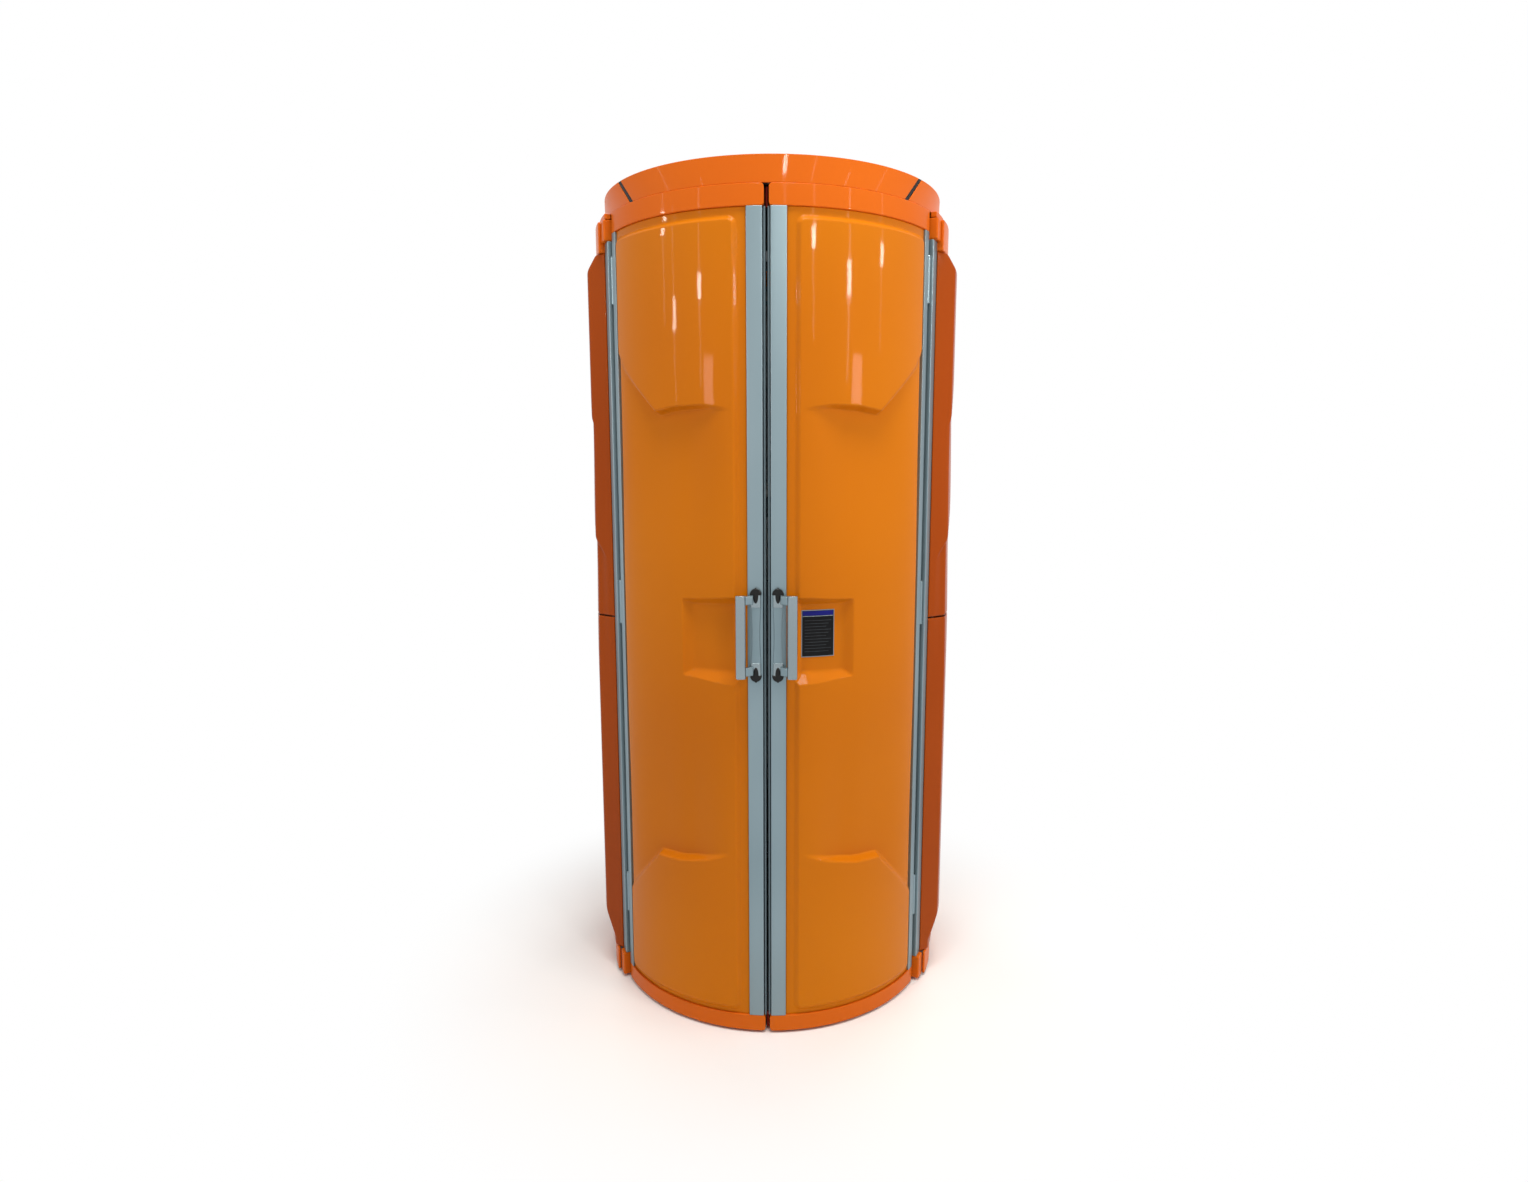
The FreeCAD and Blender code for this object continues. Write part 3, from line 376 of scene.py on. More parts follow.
def depth_in_shape(x, y, corners):
    """Distance inside a closed outline, negative outside."""
    nearest = 1e9
    inside = False
    for place, (bx, by) in enumerate(corners):
        ax, ay = corners[place - 1]
        dx, dy = bx - ax, by - ay
        along = min(1.0, max(0.0, ((x - ax) * dx + (y - ay) * dy) / (dx * dx + dy * dy)))
        nearest = min(nearest, math.hypot(x - ax - dx * along, y - ay - dy * along))
        if (ay > y) != (by > y) and x < ax + (y - ay) * dx / dy:
            inside = not inside
    return nearest if inside else -nearest


door = measure("door_shell_right")
stile = measure("meeting_stile_right")
hung = measure("hinge_stile_right")

# Places on the door are an arc from the seam along its surface, and a height.
ARC = math.radians(1) * header.far
SKIN_GAP, SHEET_WALL = 0.2, 4
skin_low, skin_high = kick.high + SKIN_GAP, header.low - SKIN_GAP
skin_start, skin_end = stile.end * ARC, hung.start * ARC
RIM_BACK, FIELD_CORNER, FIELD_SLOPE = 6, 26, 15
FIELD_SEAM, FIELD_HINGE, FIELD_FOOT, FIELD_HEAD = 21, 1.5, 10, 17
rim_out = header.far - RIM_BACK
field = (skin_start + FIELD_SEAM, skin_end - FIELD_HINGE, kick.high + FIELD_FOOT,
         header.low - FIELD_HEAD, FIELD_CORNER)

WAIST = [(84, 517), (170, 491), (250, 475), (334, 471), (512, 286), (512, 1886),
         (455, 1806), (315, 1683), (250, 1693), (170, 1695), (84, 1685)]
WAIST_DEEP, WAIST_FILL, WAIST_RISE = 26, 14, 0.8
WAIST_EDGE, WAIST_IN, WAIST_OUT = (-4, 9), (84, 230), (300, 490)
FILL_LOW, FILL_HIGH = (560, 960), (1240, 1620)

RECESS_START, RECESS_END, RECESS_LOW, RECESS_HIGH = 66, 258, 981, 1211
NEAR_WALL, FAR_WALL, LOW_WALL, TOP_WALL = 26, 42, 30, 22
RECESS_DEEP, RECESS_BLEND, RECESS_CURVE = 30.5, 0.09, 0.25


def recess_depth(arc, high):
    """Depth of the hand recess: sloping walls that run together in soft corners."""
    ways = ((arc - RECESS_START) / NEAR_WALL, (RECESS_END - arc) / FAR_WALL,
            (high - RECESS_LOW) / LOW_WALL, (RECESS_HIGH - high) / TOP_WALL)
    if min(ways) <= 0:
        return 0.0
    share = -RECESS_BLEND * math.log(sum(math.exp(-way / RECESS_BLEND) for way in (*ways, 1.0)))
    return RECESS_DEEP * (RECESS_CURVE * ease(share, 0, 1)
                          + (1 - RECESS_CURVE) * max(0.0, min(1.0, share)))


def door_radius(arc, high):
    """Radius of the door panel at a place along its arc and its height, in mm."""
    on_field = ease(depth_in_box(arc, high, *field), 0, FIELD_SLOPE)
    radius = rim_out + (door.far - rim_out) * on_field
    deep = WAIST_DEEP - WAIST_FILL * (ease(high, *FILL_LOW) - ease(high, *FILL_HIGH))
    scoop = deep * (ease(arc, *WAIST_IN) - WAIST_RISE * ease(arc, *WAIST_OUT))
    radius -= scoop * ease(depth_in_shape(arc, high, WAIST), *WAIST_EDGE)
    sunk = recess_depth(arc, high)
    return min(radius, door.far - sunk) if sunk > 0 else radius


def lines(*runs):
    """Places along a line from runs of (start, end, step), each of even steps."""
    places = []
    for start, end, step in runs:
        count = max(1, round((end - start) / step))
        places += [start + (end - start) * part / count for part in range(count)]
    return places + [runs[-1][1]]


def moulded_sheet(across, upward, place):
    """A sheet with a point for each pair of an across and an upward position."""
    bm = bmesh.new()
    columns, rows = len(across) - 1, len(upward) - 1
    bmesh.ops.create_grid(bm, x_segments=columns, y_segments=rows, size=0.5)
    for vert in bm.verts:
        column = round((vert.co.x + 0.5) * columns)
        row = round((vert.co.y + 0.5) * rows)
        vert.co = place(across[column], upward[row])
    bmesh.ops.recalc_face_normals(bm, faces=bm.faces)
    bm.faces.ensure_lookup_table()
    middle = bm.faces[0].calc_center_median()
    if bm.faces[0].normal.x * middle.x + bm.faces[0].normal.y * middle.y < 0:
        bmesh.ops.reverse_faces(bm, faces=bm.faces)
    return bm


def thicken(piece, wall_mm):
    """Give a sheet its wall, inwards."""
    wall = piece.modifiers.new("wall", "SOLIDIFY")
    wall.thickness = wall_mm / 1000
    wall.offset = -1
    piece.modifiers.move(len(piece.modifiers) - 1, 0)


def door_place(arc, high):
    return on_booth(door_radius(arc, high), arc / ARC, high)


# Points lie close together only where the sheet bends.
DOOR_ACROSS = lines((skin_start, 66, 4), (66, 94, 1.6), (94, 184, 4.5), (184, 262, 2.2),
                    (262, 478, 6), (478, skin_end, 1.8))
DOOR_UPWARD = lines((skin_low, 86, 1.8), (86, 286, 13), (286, 460, 4.4), (460, 528, 1.9),
                    (528, 970, 16), (970, 1016, 1.8), (1016, 1184, 10), (1184, 1216, 1.8),
                    (1216, 1670, 16), (1670, 1708, 1.8), (1708, 1890, 4.4), (1890, 2124, 13),
                    (2124, skin_high, 1.8))
# Acrylic has a deep, wet gloss and a slight waviness from forming.
amber = gloss_plastic("gloss_acrylic_amber", ("#C66E0A", "#CF780C"), 70, 0.35)
for side in SIDES:
    sheet = sided(side, moulded_sheet(DOOR_ACROSS, DOOR_UPWARD, door_place))
    shell = finish_piece(f"door_shell_{side}.shown", sheet, amber, f"door_{side}",
                         [f"door_shell_{side}"])
    thicken(shell, SHEET_WALL)


# Door stiles and fixed posts: extruded aluminium, satin anodised, with fine
# lengthwise die lines. The doors meet on one pair and hang on the other.

def anodised(name, shades, roughness, metal):
    """Satin anodised aluminium: cool grey metal with faint lengthwise lines."""
    return surface(name, shades, {"Metallic": metal, "Roughness": roughness},
                   speckle(420, 1.0), speckle(1.6, 2.0, (1, 1, 0.004)), 0.05, 0.2)


satin = anodised("anodised_aluminium_satin", ("#7F939B", "#8CA0A8"), 0.42, 0.8)
MEETING_TRIM, STILE_EDGE, POST_EDGE, BAR_STEP = 0.12, 1.4, 2.2, 0.8
for side in SIDES:
    for name, span, trim in (("meeting_stile", stile, MEETING_TRIM), ("hinge_stile", hung, 0)):
        bar = turned_solid(bar_section(span.near, span.far, span.low, span.high),
                           span.start + trim, span.end, BAR_STEP)
        soften(bar, STILE_EDGE, 2)
        finish_piece(f"{name}_{side}.shown", sided(side, bar), satin, f"door_{side}",
                     [f"{name}_{side}"])
    bar = turned_solid(bar_section(post.near, post.far, post.low, nub_low), post.start,
                       post.end, BAR_STEP)
    soften(bar, POST_EDGE)
    finish_piece(f"hinge_post_{side}.shown", sided(side, bar), satin, "cabinet",
                 [f"hinge_post_{side}"])


# Seam gaskets: soft blue-black rubber beads, one along each meeting stile,
# extruded with a shoulder and a rounded nose.

def prism(corners, low, high):
    """An outline of x and y in mm, drawn up between two heights."""
    bm = bmesh.new()
    face = bm.faces.new([bm.verts.new((corner[0] / 1000, corner[1] / 1000, low / 1000))
                         for corner in corners])
    made = bmesh.ops.extrude_face_region(bm, geom=[face])
    raised = [item for item in made["geom"] if isinstance(item, bmesh.types.BMVert)]
    bmesh.ops.translate(bm, vec=(0, 0, (high - low) / 1000), verts=raised)
    bmesh.ops.recalc_face_normals(bm, faces=bm.faces)
    return bm


seal_rubber = rubber("extruded_rubber_blue_black", ("#56676F", "#677A83"), 0.4)
gasket = measure("seam_gasket_right")
BEAD_SHIFT, BEAD_PROUD = 0.05, 3.5
BEAD_FOOT, SHOULDER, NOSE, GASKET_EDGE = 0.25, 6, 3, 0.7
bead = (gasket.start + gasket.end) / 2 + BEAD_SHIFT
bead_out = gasket.far + BEAD_PROUD
GASKET = [(gasket.near, BEAD_FOOT), (gasket.near, gasket.end),
          (gasket.far - SHOULDER, gasket.end), (bead_out - NOSE, bead + 0.3),
          (bead_out, bead + 0.24), (bead_out, bead - 0.2), (bead_out - NOSE, bead - 0.34),
          (gasket.far - SHOULDER, BEAD_FOOT)]
for side in SIDES:
    seal = prism([on_booth(radius, turn, 0) * 1000 for radius, turn in GASKET],
                 gasket.low, gasket.high)
    soften(seal, GASKET_EDGE, 2, 40)
    finish_piece(f"seam_gasket_{side}.shown", sided(side, seal), seal_rubber,
                 f"door_{side}", [f"seam_gasket_{side}"])


# Side shells: the same acrylic, in an upper and a lower part, bevelled towards
# the posts, chamfered at their ends and marked with creases. Their deeper orange
# is painted shade, for sides that face away from the light.

upper = measure("side_shell_upper_right")
lower = measure("side_shell_lower_right")
SHELL_LIP, TOP_CHAMFER, LOW_CHAMFER, LOW_EDGE = 22.5, 40, 79, 27
SHELL_LAP, SHELL_TRIM, BEVEL_SUNK = 0.35, 0.1, 0.7
BEVEL_SLOPE, BEVEL_TURNS, CORNER_BLEND = 0.7333, 20, 4
CREASES = ((72.0, 1640, 86.0, 1880), (69.5, 1270, 84.0, 1480))
CREASE_DEEP, CREASE_FALL, CREASE_RISE = 5, (-420, -40), (-3, 9)
CREASE_IN, CREASE_FADE, CREASE_GONE = 3, 25, 45
END_FALL, END_ROUND = 5, (-4, 5)
shell_start, shell_end = post.end - SHELL_LAP, upper.end - SHELL_TRIM
bevel_foot = upper.near - BEVEL_SUNK


def shell_radius(turn, high, near_end):
    """Radius of the side shell at a turn, a height and a distance from its end, in mm."""
    on = math.radians(min(turn - post.end, BEVEL_TURNS))
    cuts = (bevel_foot / (math.cos(on) - BEVEL_SLOPE * math.sin(on)),
            upper.far + max(-1.0, (high - lower.low - LOW_EDGE) / LOW_CHAMFER - 1) * SHELL_LIP,
            upper.far + ((upper.high - high) / TOP_CHAMFER - 1) * SHELL_LIP)
    radius = upper.far
    for other in cuts:
        blend = max(0.0, 1 - abs(radius - other) / CORNER_BLEND)
        radius = min(radius, other) - blend * blend
    for turn_a, high_a, turn_b, high_b in CREASES:
        off = high - high_a - (turn - turn_a) * (high_b - high_a) / (turn_b - turn_a)
        reach = (ease(turn, turn_a, turn_a + CREASE_IN)
                 * (1 - ease(turn, turn_b + CREASE_FADE, turn_b + CREASE_GONE)))
        radius -= CREASE_DEEP * reach * ease(off, *CREASE_FALL) * (1 - ease(off, *CREASE_RISE))
    return radius - END_FALL * (1 - ease(near_end, *END_ROUND))


# Points lie close together only where the sheet bends.
PART_GAP = 0.3
SHELL_ACROSS = lines((shell_start, 74.6, 0.26), (74.6, 100, 0.8), (100, shell_end, 1.4))
SHELL_PARTS = (
    ("lower", lines((lower.low + PART_GAP, 196, 3), (196, lower.high - 18, 5),
                    (lower.high - 18, lower.high - PART_GAP, 1.5))),
    ("upper", lines((upper.low + PART_GAP, upper.low + 18, 1.5), (upper.low + 18, 2070, 5),
                    (2070, upper.high - PART_GAP, 3))))
# The deeper orange of the side shells is painted shade on the same acrylic as the doors.
shaded_side_amber = gloss_plastic("gloss_acrylic_orange_painted_shade", ("#983F07", "#A24608"), 70, 0.3)
for side in SIDES:
    for part, rows in SHELL_PARTS:
        def shell_place(turn, high):
            near_end = min(high - rows[0], rows[-1] - high)
            return on_booth(shell_radius(turn, high, near_end), turn, high)

        sheet = sided(side, moulded_sheet(SHELL_ACROSS, rows, shell_place))
        shell = finish_piece(f"side_shell_{part}_{side}.shown", sheet, shaded_side_amber,
                             "cabinet", [f"side_shell_{part}_{side}"])
        thicken(shell, SHEET_WALL)


# Pull handles: an anodised aluminium grip on two cast arms, on a waisted base
# plate along the stile. Tabs at its ends are screwed down, and a black moulded
# cap with a tongue covers each screw.

def join(target, other):
    """Put one bmesh into another."""
    mesh = bpy.data.meshes.new("joined")
    other.to_mesh(mesh)
    other.free()
    target.from_mesh(mesh)
    bpy.data.meshes.remove(mesh)
    return target


# In the handle's own frame x points out from the door and y away from the seam.
mount = measure("handle_mount_right")
grip_low, grip_high = (corner.z * 1000 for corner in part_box("handle_grip_right"))
HANDLE_TURN, PLATE_END, PLATE_THICK, PLATE_WAIST = 1.85, 4.95, 5, 0.22
GRIP_PROUD, GRIP_DEEP, GRIP_ROUND = 45, 18, 8.8
plate_out, grip_out = header.far + PLATE_THICK, header.far + GRIP_PROUD
grip_back, grip_near, grip_far = grip_out - GRIP_DEEP, 36, 62
ARM = [(header.far + 1, 19), (header.far + 15, 19), (grip_back, grip_near),
       (grip_back, grip_far), (grip_back - 7, grip_far), (header.far + 8, 26),
       (header.far + 1, 26)]
ARM_START, ARM_END = 3, 25
GRIP = [(grip_back, grip_near), (grip_out, grip_near), (grip_out, grip_far),
        (grip_back, grip_far)]

cap_middle = 12.75
CAP_ROUND, CAP_SKIRT, CAP_DEEP, CAP_STEPS, CAP_LIFT = 15, 2, 9.5, 14, 0.5
HOOD = [(CAP_ROUND * math.cos(math.pi * part / CAP_STEPS),
         CAP_ROUND * math.sin(math.pi * part / CAP_STEPS)) for part in range(CAP_STEPS + 1)]
HOOD += [(-CAP_ROUND, -CAP_SKIRT), (CAP_ROUND, -CAP_SKIRT)]
TONGUE_ROUND, TONGUE_SHAPE = 7, (0.5, 1, 2.9)
TAB_LONG, TAB_PROUD, TAB_FOOT, TAB_TOP = 34, 2.4, 13.5, 12
TAB = [(header.far + 0.2, cap_middle - TAB_FOOT), (plate_out + TAB_PROUD, cap_middle - TAB_TOP),
       (plate_out + TAB_PROUD, cap_middle + TAB_TOP), (header.far + 0.2, cap_middle + TAB_FOOT)]


def pull_frame(bm):
    """Move a shape from the handle's own frame to the right-hand door."""
    bmesh.ops.rotate(bm, verts=bm.verts, cent=(0, 0, 0),
                     matrix=Matrix.Rotation(math.radians(HANDLE_TURN - 90), 3, "Z"))
    return bm


def waisted(radius, turn, high):
    """Narrow the base plate towards its middle height."""
    part = (high - mount.low) / (mount.high - mount.low)
    middle = (HANDLE_TURN + PLATE_END) / 2
    narrow = 1 - PLATE_WAIST * math.sin(math.pi * part) ** 2
    return radius, middle + (turn - middle) * narrow, high


def upright_edges(bm):
    return [edge for edge in bm.edges if abs(edge.verts[0].co.z - edge.verts[1].co.z) > 0.01]


bright_satin = anodised("anodised_aluminium_bright", ("#8C999E", "#9AA7AC"), 0.22, 0.9)
black_abs = rubber("moulded_black_abs", ("#050606", "#0C0E0F"), 0.3)
for side in SIDES:
    base = turned_solid(bar_section(header.far, plate_out, mount.low, mount.high),
                        HANDLE_TURN, PLATE_END, step=0.5)
    bmesh.ops.subdivide_edges(base, edges=upright_edges(base), cuts=15, use_grid_fill=True)
    bend(base, waisted)
    soften(base, 2, 3, 50)
    caps, tabs = bmesh.new(), bmesh.new()
    for cap_at, way in ((grip_high - CAP_LIFT, -1), (grip_low + CAP_LIFT, 1)):
        arm = prism(ARM, *sorted((cap_at + way * ARM_START, cap_at + way * ARM_END)))
        soften(arm, 1.8, 2)
        join(base, pull_frame(arm))
        tab = prism(TAB, *sorted((cap_at, cap_at + way * TAB_LONG)))
        soften(tab, 0.9, 2)
        join(tabs, tab)
        hood = prism(HOOD, 0, CAP_DEEP)
        for vert in hood.verts:
            across, outwards, proud = vert.co
            vert.co = (header.far / 1000 + proud, cap_middle / 1000 + across,
                       cap_at / 1000 - way * outwards)
        bmesh.ops.recalc_face_normals(hood, faces=hood.faces)
        soften(hood, 2.4, 3, 40)
        tongue = bmesh.new()
        bmesh.ops.create_uvsphere(tongue, u_segments=24, v_segments=16,
                                  radius=TONGUE_ROUND / 1000)
        bmesh.ops.scale(tongue, vec=TONGUE_SHAPE, verts=tongue.verts)
        bmesh.ops.translate(tongue, vec=((plate_out + 2) / 1000, cap_middle / 1000,
                                         (cap_at + way * 3) / 1000), verts=tongue.verts)
        join(join(caps, hood), tongue)
    finish_piece(f"handle_mount_{side}.shown", sided(side, base), satin, f"door_{side}",
                 [f"handle_mount_{side}"])
    finish_piece(f"handle_tabs_{side}", sided(side, pull_frame(tabs)), bright_satin,
                 f"door_{side}", [f"handle_mount_{side}"])
    grip = prism(GRIP, grip_low, grip_high)
    bmesh.ops.bevel(grip, geom=upright_edges(grip), offset=GRIP_ROUND / 1000, segments=8,
                    profile=0.5, affect="EDGES", clamp_overlap=True, material=-1)
    soften(grip, 0.8, 2, 40)
    finish_piece(f"handle_grip_{side}.shown", sided(side, pull_frame(grip)), bright_satin,
                 f"door_{side}", [f"handle_grip_{side}"])
    finish_piece(f"handle_caps_{side}.shown", sided(side, pull_frame(caps)), black_abs,
                 f"door_{side}", [f"handle_caps_{side}"])


# Notice plate: a thin printed aluminium plate in the right-hand recess, with
# a black face, a blue band and plain ruled lines between silver edges.

def printed(name, shades, roughness=0.3):
    """Screen-printed lacquer or smooth plastic: nearly even colour with a low sheen."""
    return surface(name, shades,
                   {"Roughness": roughness, "IOR": 1.5, "Specular IOR Level": 0.15},
                   speckle(20), speckle(1.5), 0.02, 0.2)


plate = measure("notice_plate")
plate_high = plate.high - plate.low
PLATE_STEP, PLATE_SUNK = 0.8, 0.3
FACE_LIFT, PRINT_LIFT, RULE_LIFT = 0.2, 0.35, 0.3
FACE_INSET, FACE_TRIM, BAND_TRIM = 2.2, 0.28, 0.42
BAND_TOP, BAND_LOW, LINE_TOP, LINE_LOW = 3.4, 15, 15.9, 17.5
rim_silver = anodised("anodised_aluminium_edge", ("#7C868C", "#8B959A"), 0.35, 0.8)
plate_edge = turned_solid(bar_section(plate.near + PLATE_SUNK, plate.far, plate.low, plate.high),
                          plate.start, plate.end, PLATE_STEP)
soften(plate_edge, 0.4, 2)
finish_piece("notice_plate.shown", plate_edge, rim_silver, "door_right",
             ["notice_plate"])


def plate_layer(lift, low, high, start, end):
    """A printed layer, lift mm above the plate and inset from its four edges."""
    return turned_solid(bar_section(plate.far - 0.2, plate.far + lift, plate.low + low,
                                    plate.high - high),
                        plate.start + start, plate.end - end, PLATE_STEP)


black_print = printed("printed_lacquer_black", ("#08090B", "#0E1013"))
blue_print = printed("printed_lacquer_blue", ("#161A78", "#1C2188"))
grey_print = printed("printed_lacquer_grey", ("#30353A", "#3C4247"))
for name, lift, low, high, trim, material in (
        ("face", FACE_LIFT, FACE_INSET, FACE_INSET, FACE_TRIM, black_print),
        ("band", PRINT_LIFT, plate_high - BAND_LOW, BAND_TOP, BAND_TRIM, blue_print),
        ("band_line", PRINT_LIFT, plate_high - LINE_LOW, LINE_TOP, BAND_TRIM, rim_silver)):
    finish_piece(f"notice_{name}", plate_layer(lift, low, high, trim, trim), material,
                 "door_right")
rules = bmesh.new()
RULE_COUNT, RULE_TOP, RULE_PITCH, RULE_THICK = 11, 29, 8.2, 1.4
RULE_INSET, RULE_RAG = 1.1, 0.9
for row in range(RULE_COUNT):
    low = plate_high - RULE_TOP - row * RULE_PITCH
    join(rules, plate_layer(RULE_LIFT, low, plate_high - low - RULE_THICK, RULE_INSET,
                            RULE_INSET + (row % 3) * RULE_RAG))
finish_piece("notice_rules", rules, grey_print, "door_right")


# Hidden and inner parts keep their CAD shapes: sheet steel, reflectors, lamps,
# windows, fans, feet, floor and controls, each with its own finish.

def powder_coat(name, shades):
    """Powder-coated steel: an even satin colour with a fine orange peel."""
    return surface(name, shades, {"Roughness": 0.5, "IOR": 1.5},
                   speckle(500), speckle(3), 0.15, 0.3)


RIB_PITCH, RADIANS_PER_UNIT = 15.7, 20


def ribs(tree):
    """A pattern of even bands RIB_PITCH mm apart, from a wave of so many radians a unit."""
    place = add_node(tree, "ShaderNodeTexCoord")
    scale = math.tau / RADIANS_PER_UNIT * 1000 / RIB_PITCH
    return add_node(tree, "ShaderNodeTexWave",
                    {"Vector": place.outputs["Object"], "Scale": scale, "Distortion": 0.0},
                    wave_type="BANDS", bands_direction="X").outputs["Fac"]


grey_steel = powder_coat("powder_coated_steel_grey", ("#43474B", "#4C5054"))
white_steel = powder_coat("powder_coated_steel_white", ("#DADBD9", "#E4E5E3"))
matte_black = rubber("moulded_black_abs_matt", ("#101213", "#26292B"), 0.5)
# Polished aluminium sheet is a soft mirror with faint rolling lines.
bright_sheet = surface("polished_aluminium_sheet", ("#BFC4C7", "#CDD1D3"),
                       {"Metallic": 1.0, "Roughness": 0.22},
                       speckle(300), speckle(3, 2.0, (1, 1, 0.02)), 0.04, 0.3)
# Coated lamp glass shows white powder through a glossy tube.
milky_glass = surface("phosphor_coated_glass", ("#DDE3EA", "#E9EDF2"),
                      {"Roughness": 0.12, "IOR": 1.5, "Coat Weight": 0.4,
                       "Coat Roughness": 0.05},
                      speckle(60), speckle(5), 0.03, 0.1)
# Cast acrylic sheet is clear, with a slight cool tint.
clear_acrylic = surface("clear_cast_acrylic", ("#F2F8FA", "#F8FBFC"),
                        {"Roughness": 0.03, "IOR": 1.49, "Transmission Weight": 1.0},
                        speckle(400), speckle(120), 0.05, 0.05)
# The rubber mat is dull black, with ribs that catch the light.
ribbed_mat = surface("ribbed_rubber_mat", ("#151617", "#26292A"),
                     {"Roughness": 0.7, "IOR": 1.5}, ribs, ribs, 1.5, 0.8)
FINISHES = {
    "levelling_feet": matte_black, "base_plinth": grey_steel, "floor_platform": grey_steel,
    "floor_mat": ribbed_mat, "back_panel": grey_steel, "roof_deck": grey_steel,
    "fan_housings": matte_black, "fan_rotor_right": matte_black, "fan_rotor_left": matte_black,
    "cabin_lamp_tray": bright_sheet, "cabin_lamps": milky_glass,
    "cabin_window": clear_acrylic, "ballast_box": white_steel, "control_panel": white_steel,
    "display_window": printed("dark_display_window", ("#0A0E13", "#10161D"), 0.12),
    "start_button": printed("moulded_button_green", ("#2A8440", "#30904A")),
    "stop_button": printed("moulded_button_red", ("#AC231C", "#BA2A21")),
    "ceiling_grips": bright_satin, "supply_box": matte_black,
    "isolator_rocker": printed("moulded_rocker_red", ("#9D211A", "#A8271F")),
    "cable_gland": matte_black, "hinge_brackets": satin, "hinge_pins": bright_satin,
}
for side in SIDES:
    FINISHES[f"door_lamp_tray_{side}"] = bright_sheet
    FINISHES[f"door_lamps_{side}"] = milky_glass
    FINISHES[f"door_window_{side}"] = clear_acrylic
    FINISHES[f"hinge_knuckles_{side}"] = satin
for name, material in FINISHES.items():
    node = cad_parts[name]
    node.data.materials.clear()
    node.data.materials.append(material)


# Studio floor and surround: a pale floor that keeps the booth's shadow and
# passes into white further out, and an even white world.

def seen_plainly(tree):
    """1 for rays that show the background itself: camera, glossy and transmission."""
    path = add_node(tree, "ShaderNodeLightPath")
    direct = add_node(tree, "ShaderNodeMath", {0: path.outputs["Is Camera Ray"],
                                               1: path.outputs["Is Transmission Ray"]},
                      operation="MAXIMUM")
    return add_node(tree, "ShaderNodeMath", {0: direct.outputs[0],
                                             1: path.outputs["Is Glossy Ray"]},
                    operation="MAXIMUM").outputs[0]


WHITE = (1, 1, 1, 1)
SHADOW_REACH, FLOOR_ENDS, FLOOR_SIZE = 0.5, 1.25, 40
floor_material = new_material("pale_studio_floor")
tree = floor_material.node_tree
place = add_node(tree, "ShaderNodeTexCoord")
away = add_node(tree, "ShaderNodeVectorMath", {0: place.outputs["Object"]}, operation="LENGTH")
fade = add_node(tree, "ShaderNodeMapRange",
                {"Value": away.outputs["Value"], "From Min": SHADOW_REACH,
                 "From Max": FLOOR_ENDS}, interpolation_type="SMOOTHSTEP")
share = add_node(tree, "ShaderNodeMath", {0: fade.outputs["Result"], 1: seen_plainly(tree)},
                 operation="MULTIPLY")
paint = add_node(tree, "ShaderNodeBsdfPrincipled",
                 {"Base Color": linear("#F3F5F8"), "Roughness": 0.7, "Specular IOR Level": 0.1})
glow = add_node(tree, "ShaderNodeEmission", {"Color": WHITE, "Strength": 1.0})
both = add_node(tree, "ShaderNodeMixShader", {0: share.outputs[0], 1: paint.outputs[0],
                                              2: glow.outputs[0]})
add_node(tree, "ShaderNodeOutputMaterial", {"Surface": both.outputs[0]})
bpy.ops.mesh.primitive_plane_add(size=FLOOR_SIZE, location=(0, 0, 0))
floor = bpy.context.object
floor.name = "studio_floor"
floor.data.materials.append(floor_material)

world = bpy.data.worlds.new("studio")
bpy.context.scene.world = world
world.use_nodes = True
tree = world.node_tree
tree.nodes.clear()
soft = add_node(tree, "ShaderNodeBackground", {"Color": linear("#F6F4F2"), "Strength": 0.35})
white = add_node(tree, "ShaderNodeBackground", {"Color": WHITE, "Strength": 1.0})
both = add_node(tree, "ShaderNodeMixShader", {0: seen_plainly(tree), 1: soft.outputs[0],
                                              2: white.outputs[0]})
add_node(tree, "ShaderNodeOutputWorld", {"Surface": both.outputs[0]})


# Studio lamps: a broad soft one above the front, two behind, and small upright
# ones in front, which draw short bright streaks with faint trails on the doors.

def lamp(name, place, wide, high, power, colour, glossy=True):
    """A rectangular lamp that looks at the booth's chest height, in metres and watts."""
    light = bpy.data.lights.new(name, "AREA")
    light.shape = "RECTANGLE"
    light.size = wide
    light.size_y = high
    light.energy = power
    light.color = linear(colour)[:3]
    holder = bpy.data.objects.new(name, light)
    holder.location = place
    holder.rotation_euler = (LAMP_AIM - Vector(place)).to_track_quat("-Z", "Y").to_euler()
    holder.visible_glossy = glossy
    bpy.context.scene.collection.objects.link(holder)


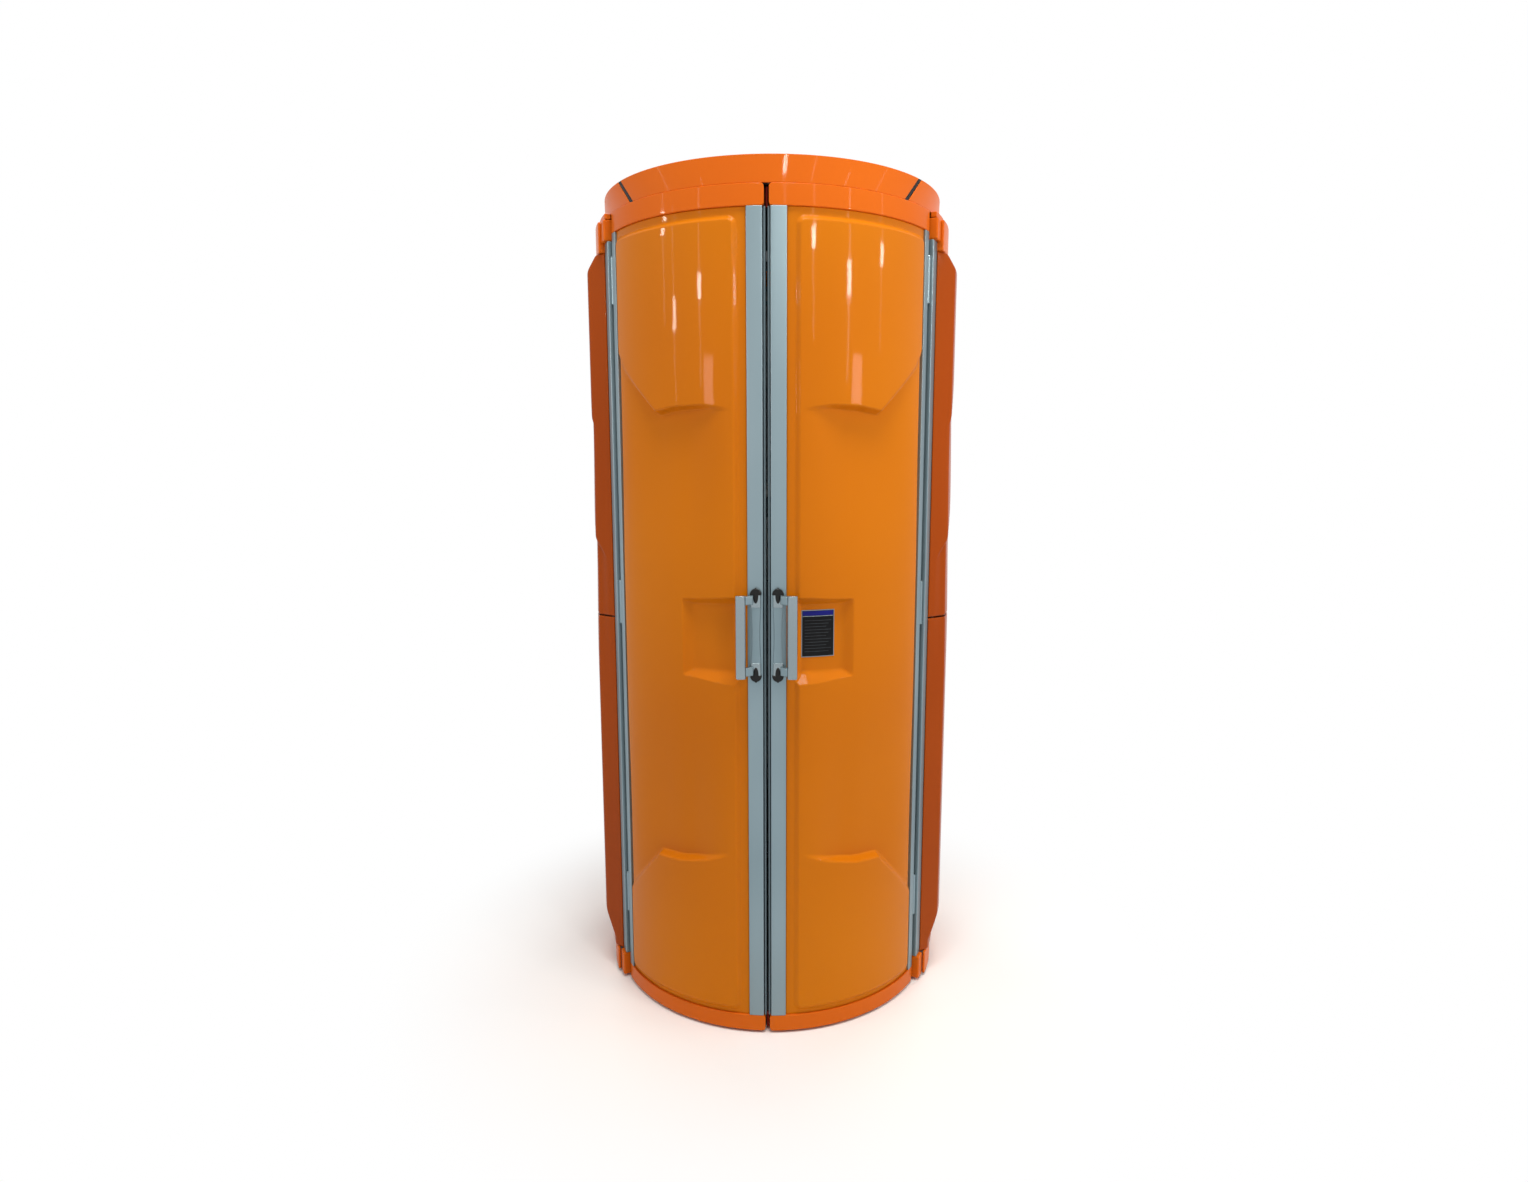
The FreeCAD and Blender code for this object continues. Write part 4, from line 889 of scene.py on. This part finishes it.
LAMP_AIM = Vector((0, 0, 1.6))
WARM, PINK = "#FFFAF0", "#FFC8BC"
TRAIL_WIDE, TRAIL_HIGH, TRAIL_POWER = 0.4, 0.9, 0.25
lamp("overhead", (0.3, -1.4, 5.2), 2.0, 1.0, 132, WARM)
lamp("rear_right", (1.9, 2.6, 2.6), 1.6, 1.6, 42, WARM, glossy=False)
lamp("rear_left", (-1.9, 2.6, 2.6), 1.6, 1.6, 34, WARM, glossy=False)
lamp("side_right", (2.4, -0.4, 1.5), 0.8, 1.8, 11, WARM, glossy=False)
for name, place, wide, high, power, colour in (
        ("right_main", (1.76, -1.64, 2.38), 0.12, 0.16, 5.5, WARM),
        ("right_near", (1.04, -2.18, 2.56), 0.09, 0.11, 3.5, WARM),
        ("right_far", (2.19, -0.81, 2.50), 0.11, 0.09, 2.5, WARM),
        ("right_low", (2.11, -1.55, 1.96), 0.30, 0.24, 6, PINK),
        ("left_main", (-1.59, -1.81, 2.35), 0.09, 0.11, 3, WARM),
        ("left_low", (-1.57, -2.12, 1.94), 0.28, 0.26, 5, PINK),
        ("left_side", (-2.03, -1.24, 2.23), 0.09, 0.14, 2.5, WARM),
        ("left_far", (-2.13, -0.95, 2.62), 0.11, 0.09, 2.5, WARM),
        ("front_high", (0.37, -2.36, 2.86), 0.10, 0.09, 2.5, WARM)):
    lamp(name, place, wide, high, power, colour)
    if colour == WARM:
        lamp(f"{name}_trail", place, wide * TRAIL_WIDE, TRAIL_HIGH, power * TRAIL_POWER, colour)


# Camera: above the handles' height, looking slightly down at the doors.

CAMERA_YAW, CAMERA_PITCH = math.radians(1.44), math.radians(8.65)
CAMERA_PLACE = Vector((0.01365, -2.7534, 1.5474))
RENDER_WIDE, FOCAL = 1528, 900
camera = bpy.data.cameras.new("camera")
camera.sensor_width = 36
camera.lens = camera.sensor_width * FOCAL / RENDER_WIDE
camera.shift_x = -0.0085
camera.shift_y = 0.0072
holder = bpy.data.objects.new("camera", camera)
holder.location = Matrix.Rotation(CAMERA_YAW, 3, "Z") @ CAMERA_PLACE
holder.rotation_euler = (math.radians(90) - CAMERA_PITCH, 0, CAMERA_YAW)
bpy.context.scene.collection.objects.link(holder)
bpy.context.scene.camera = holder
bpy.context.scene.view_settings.view_transform = "Standard"
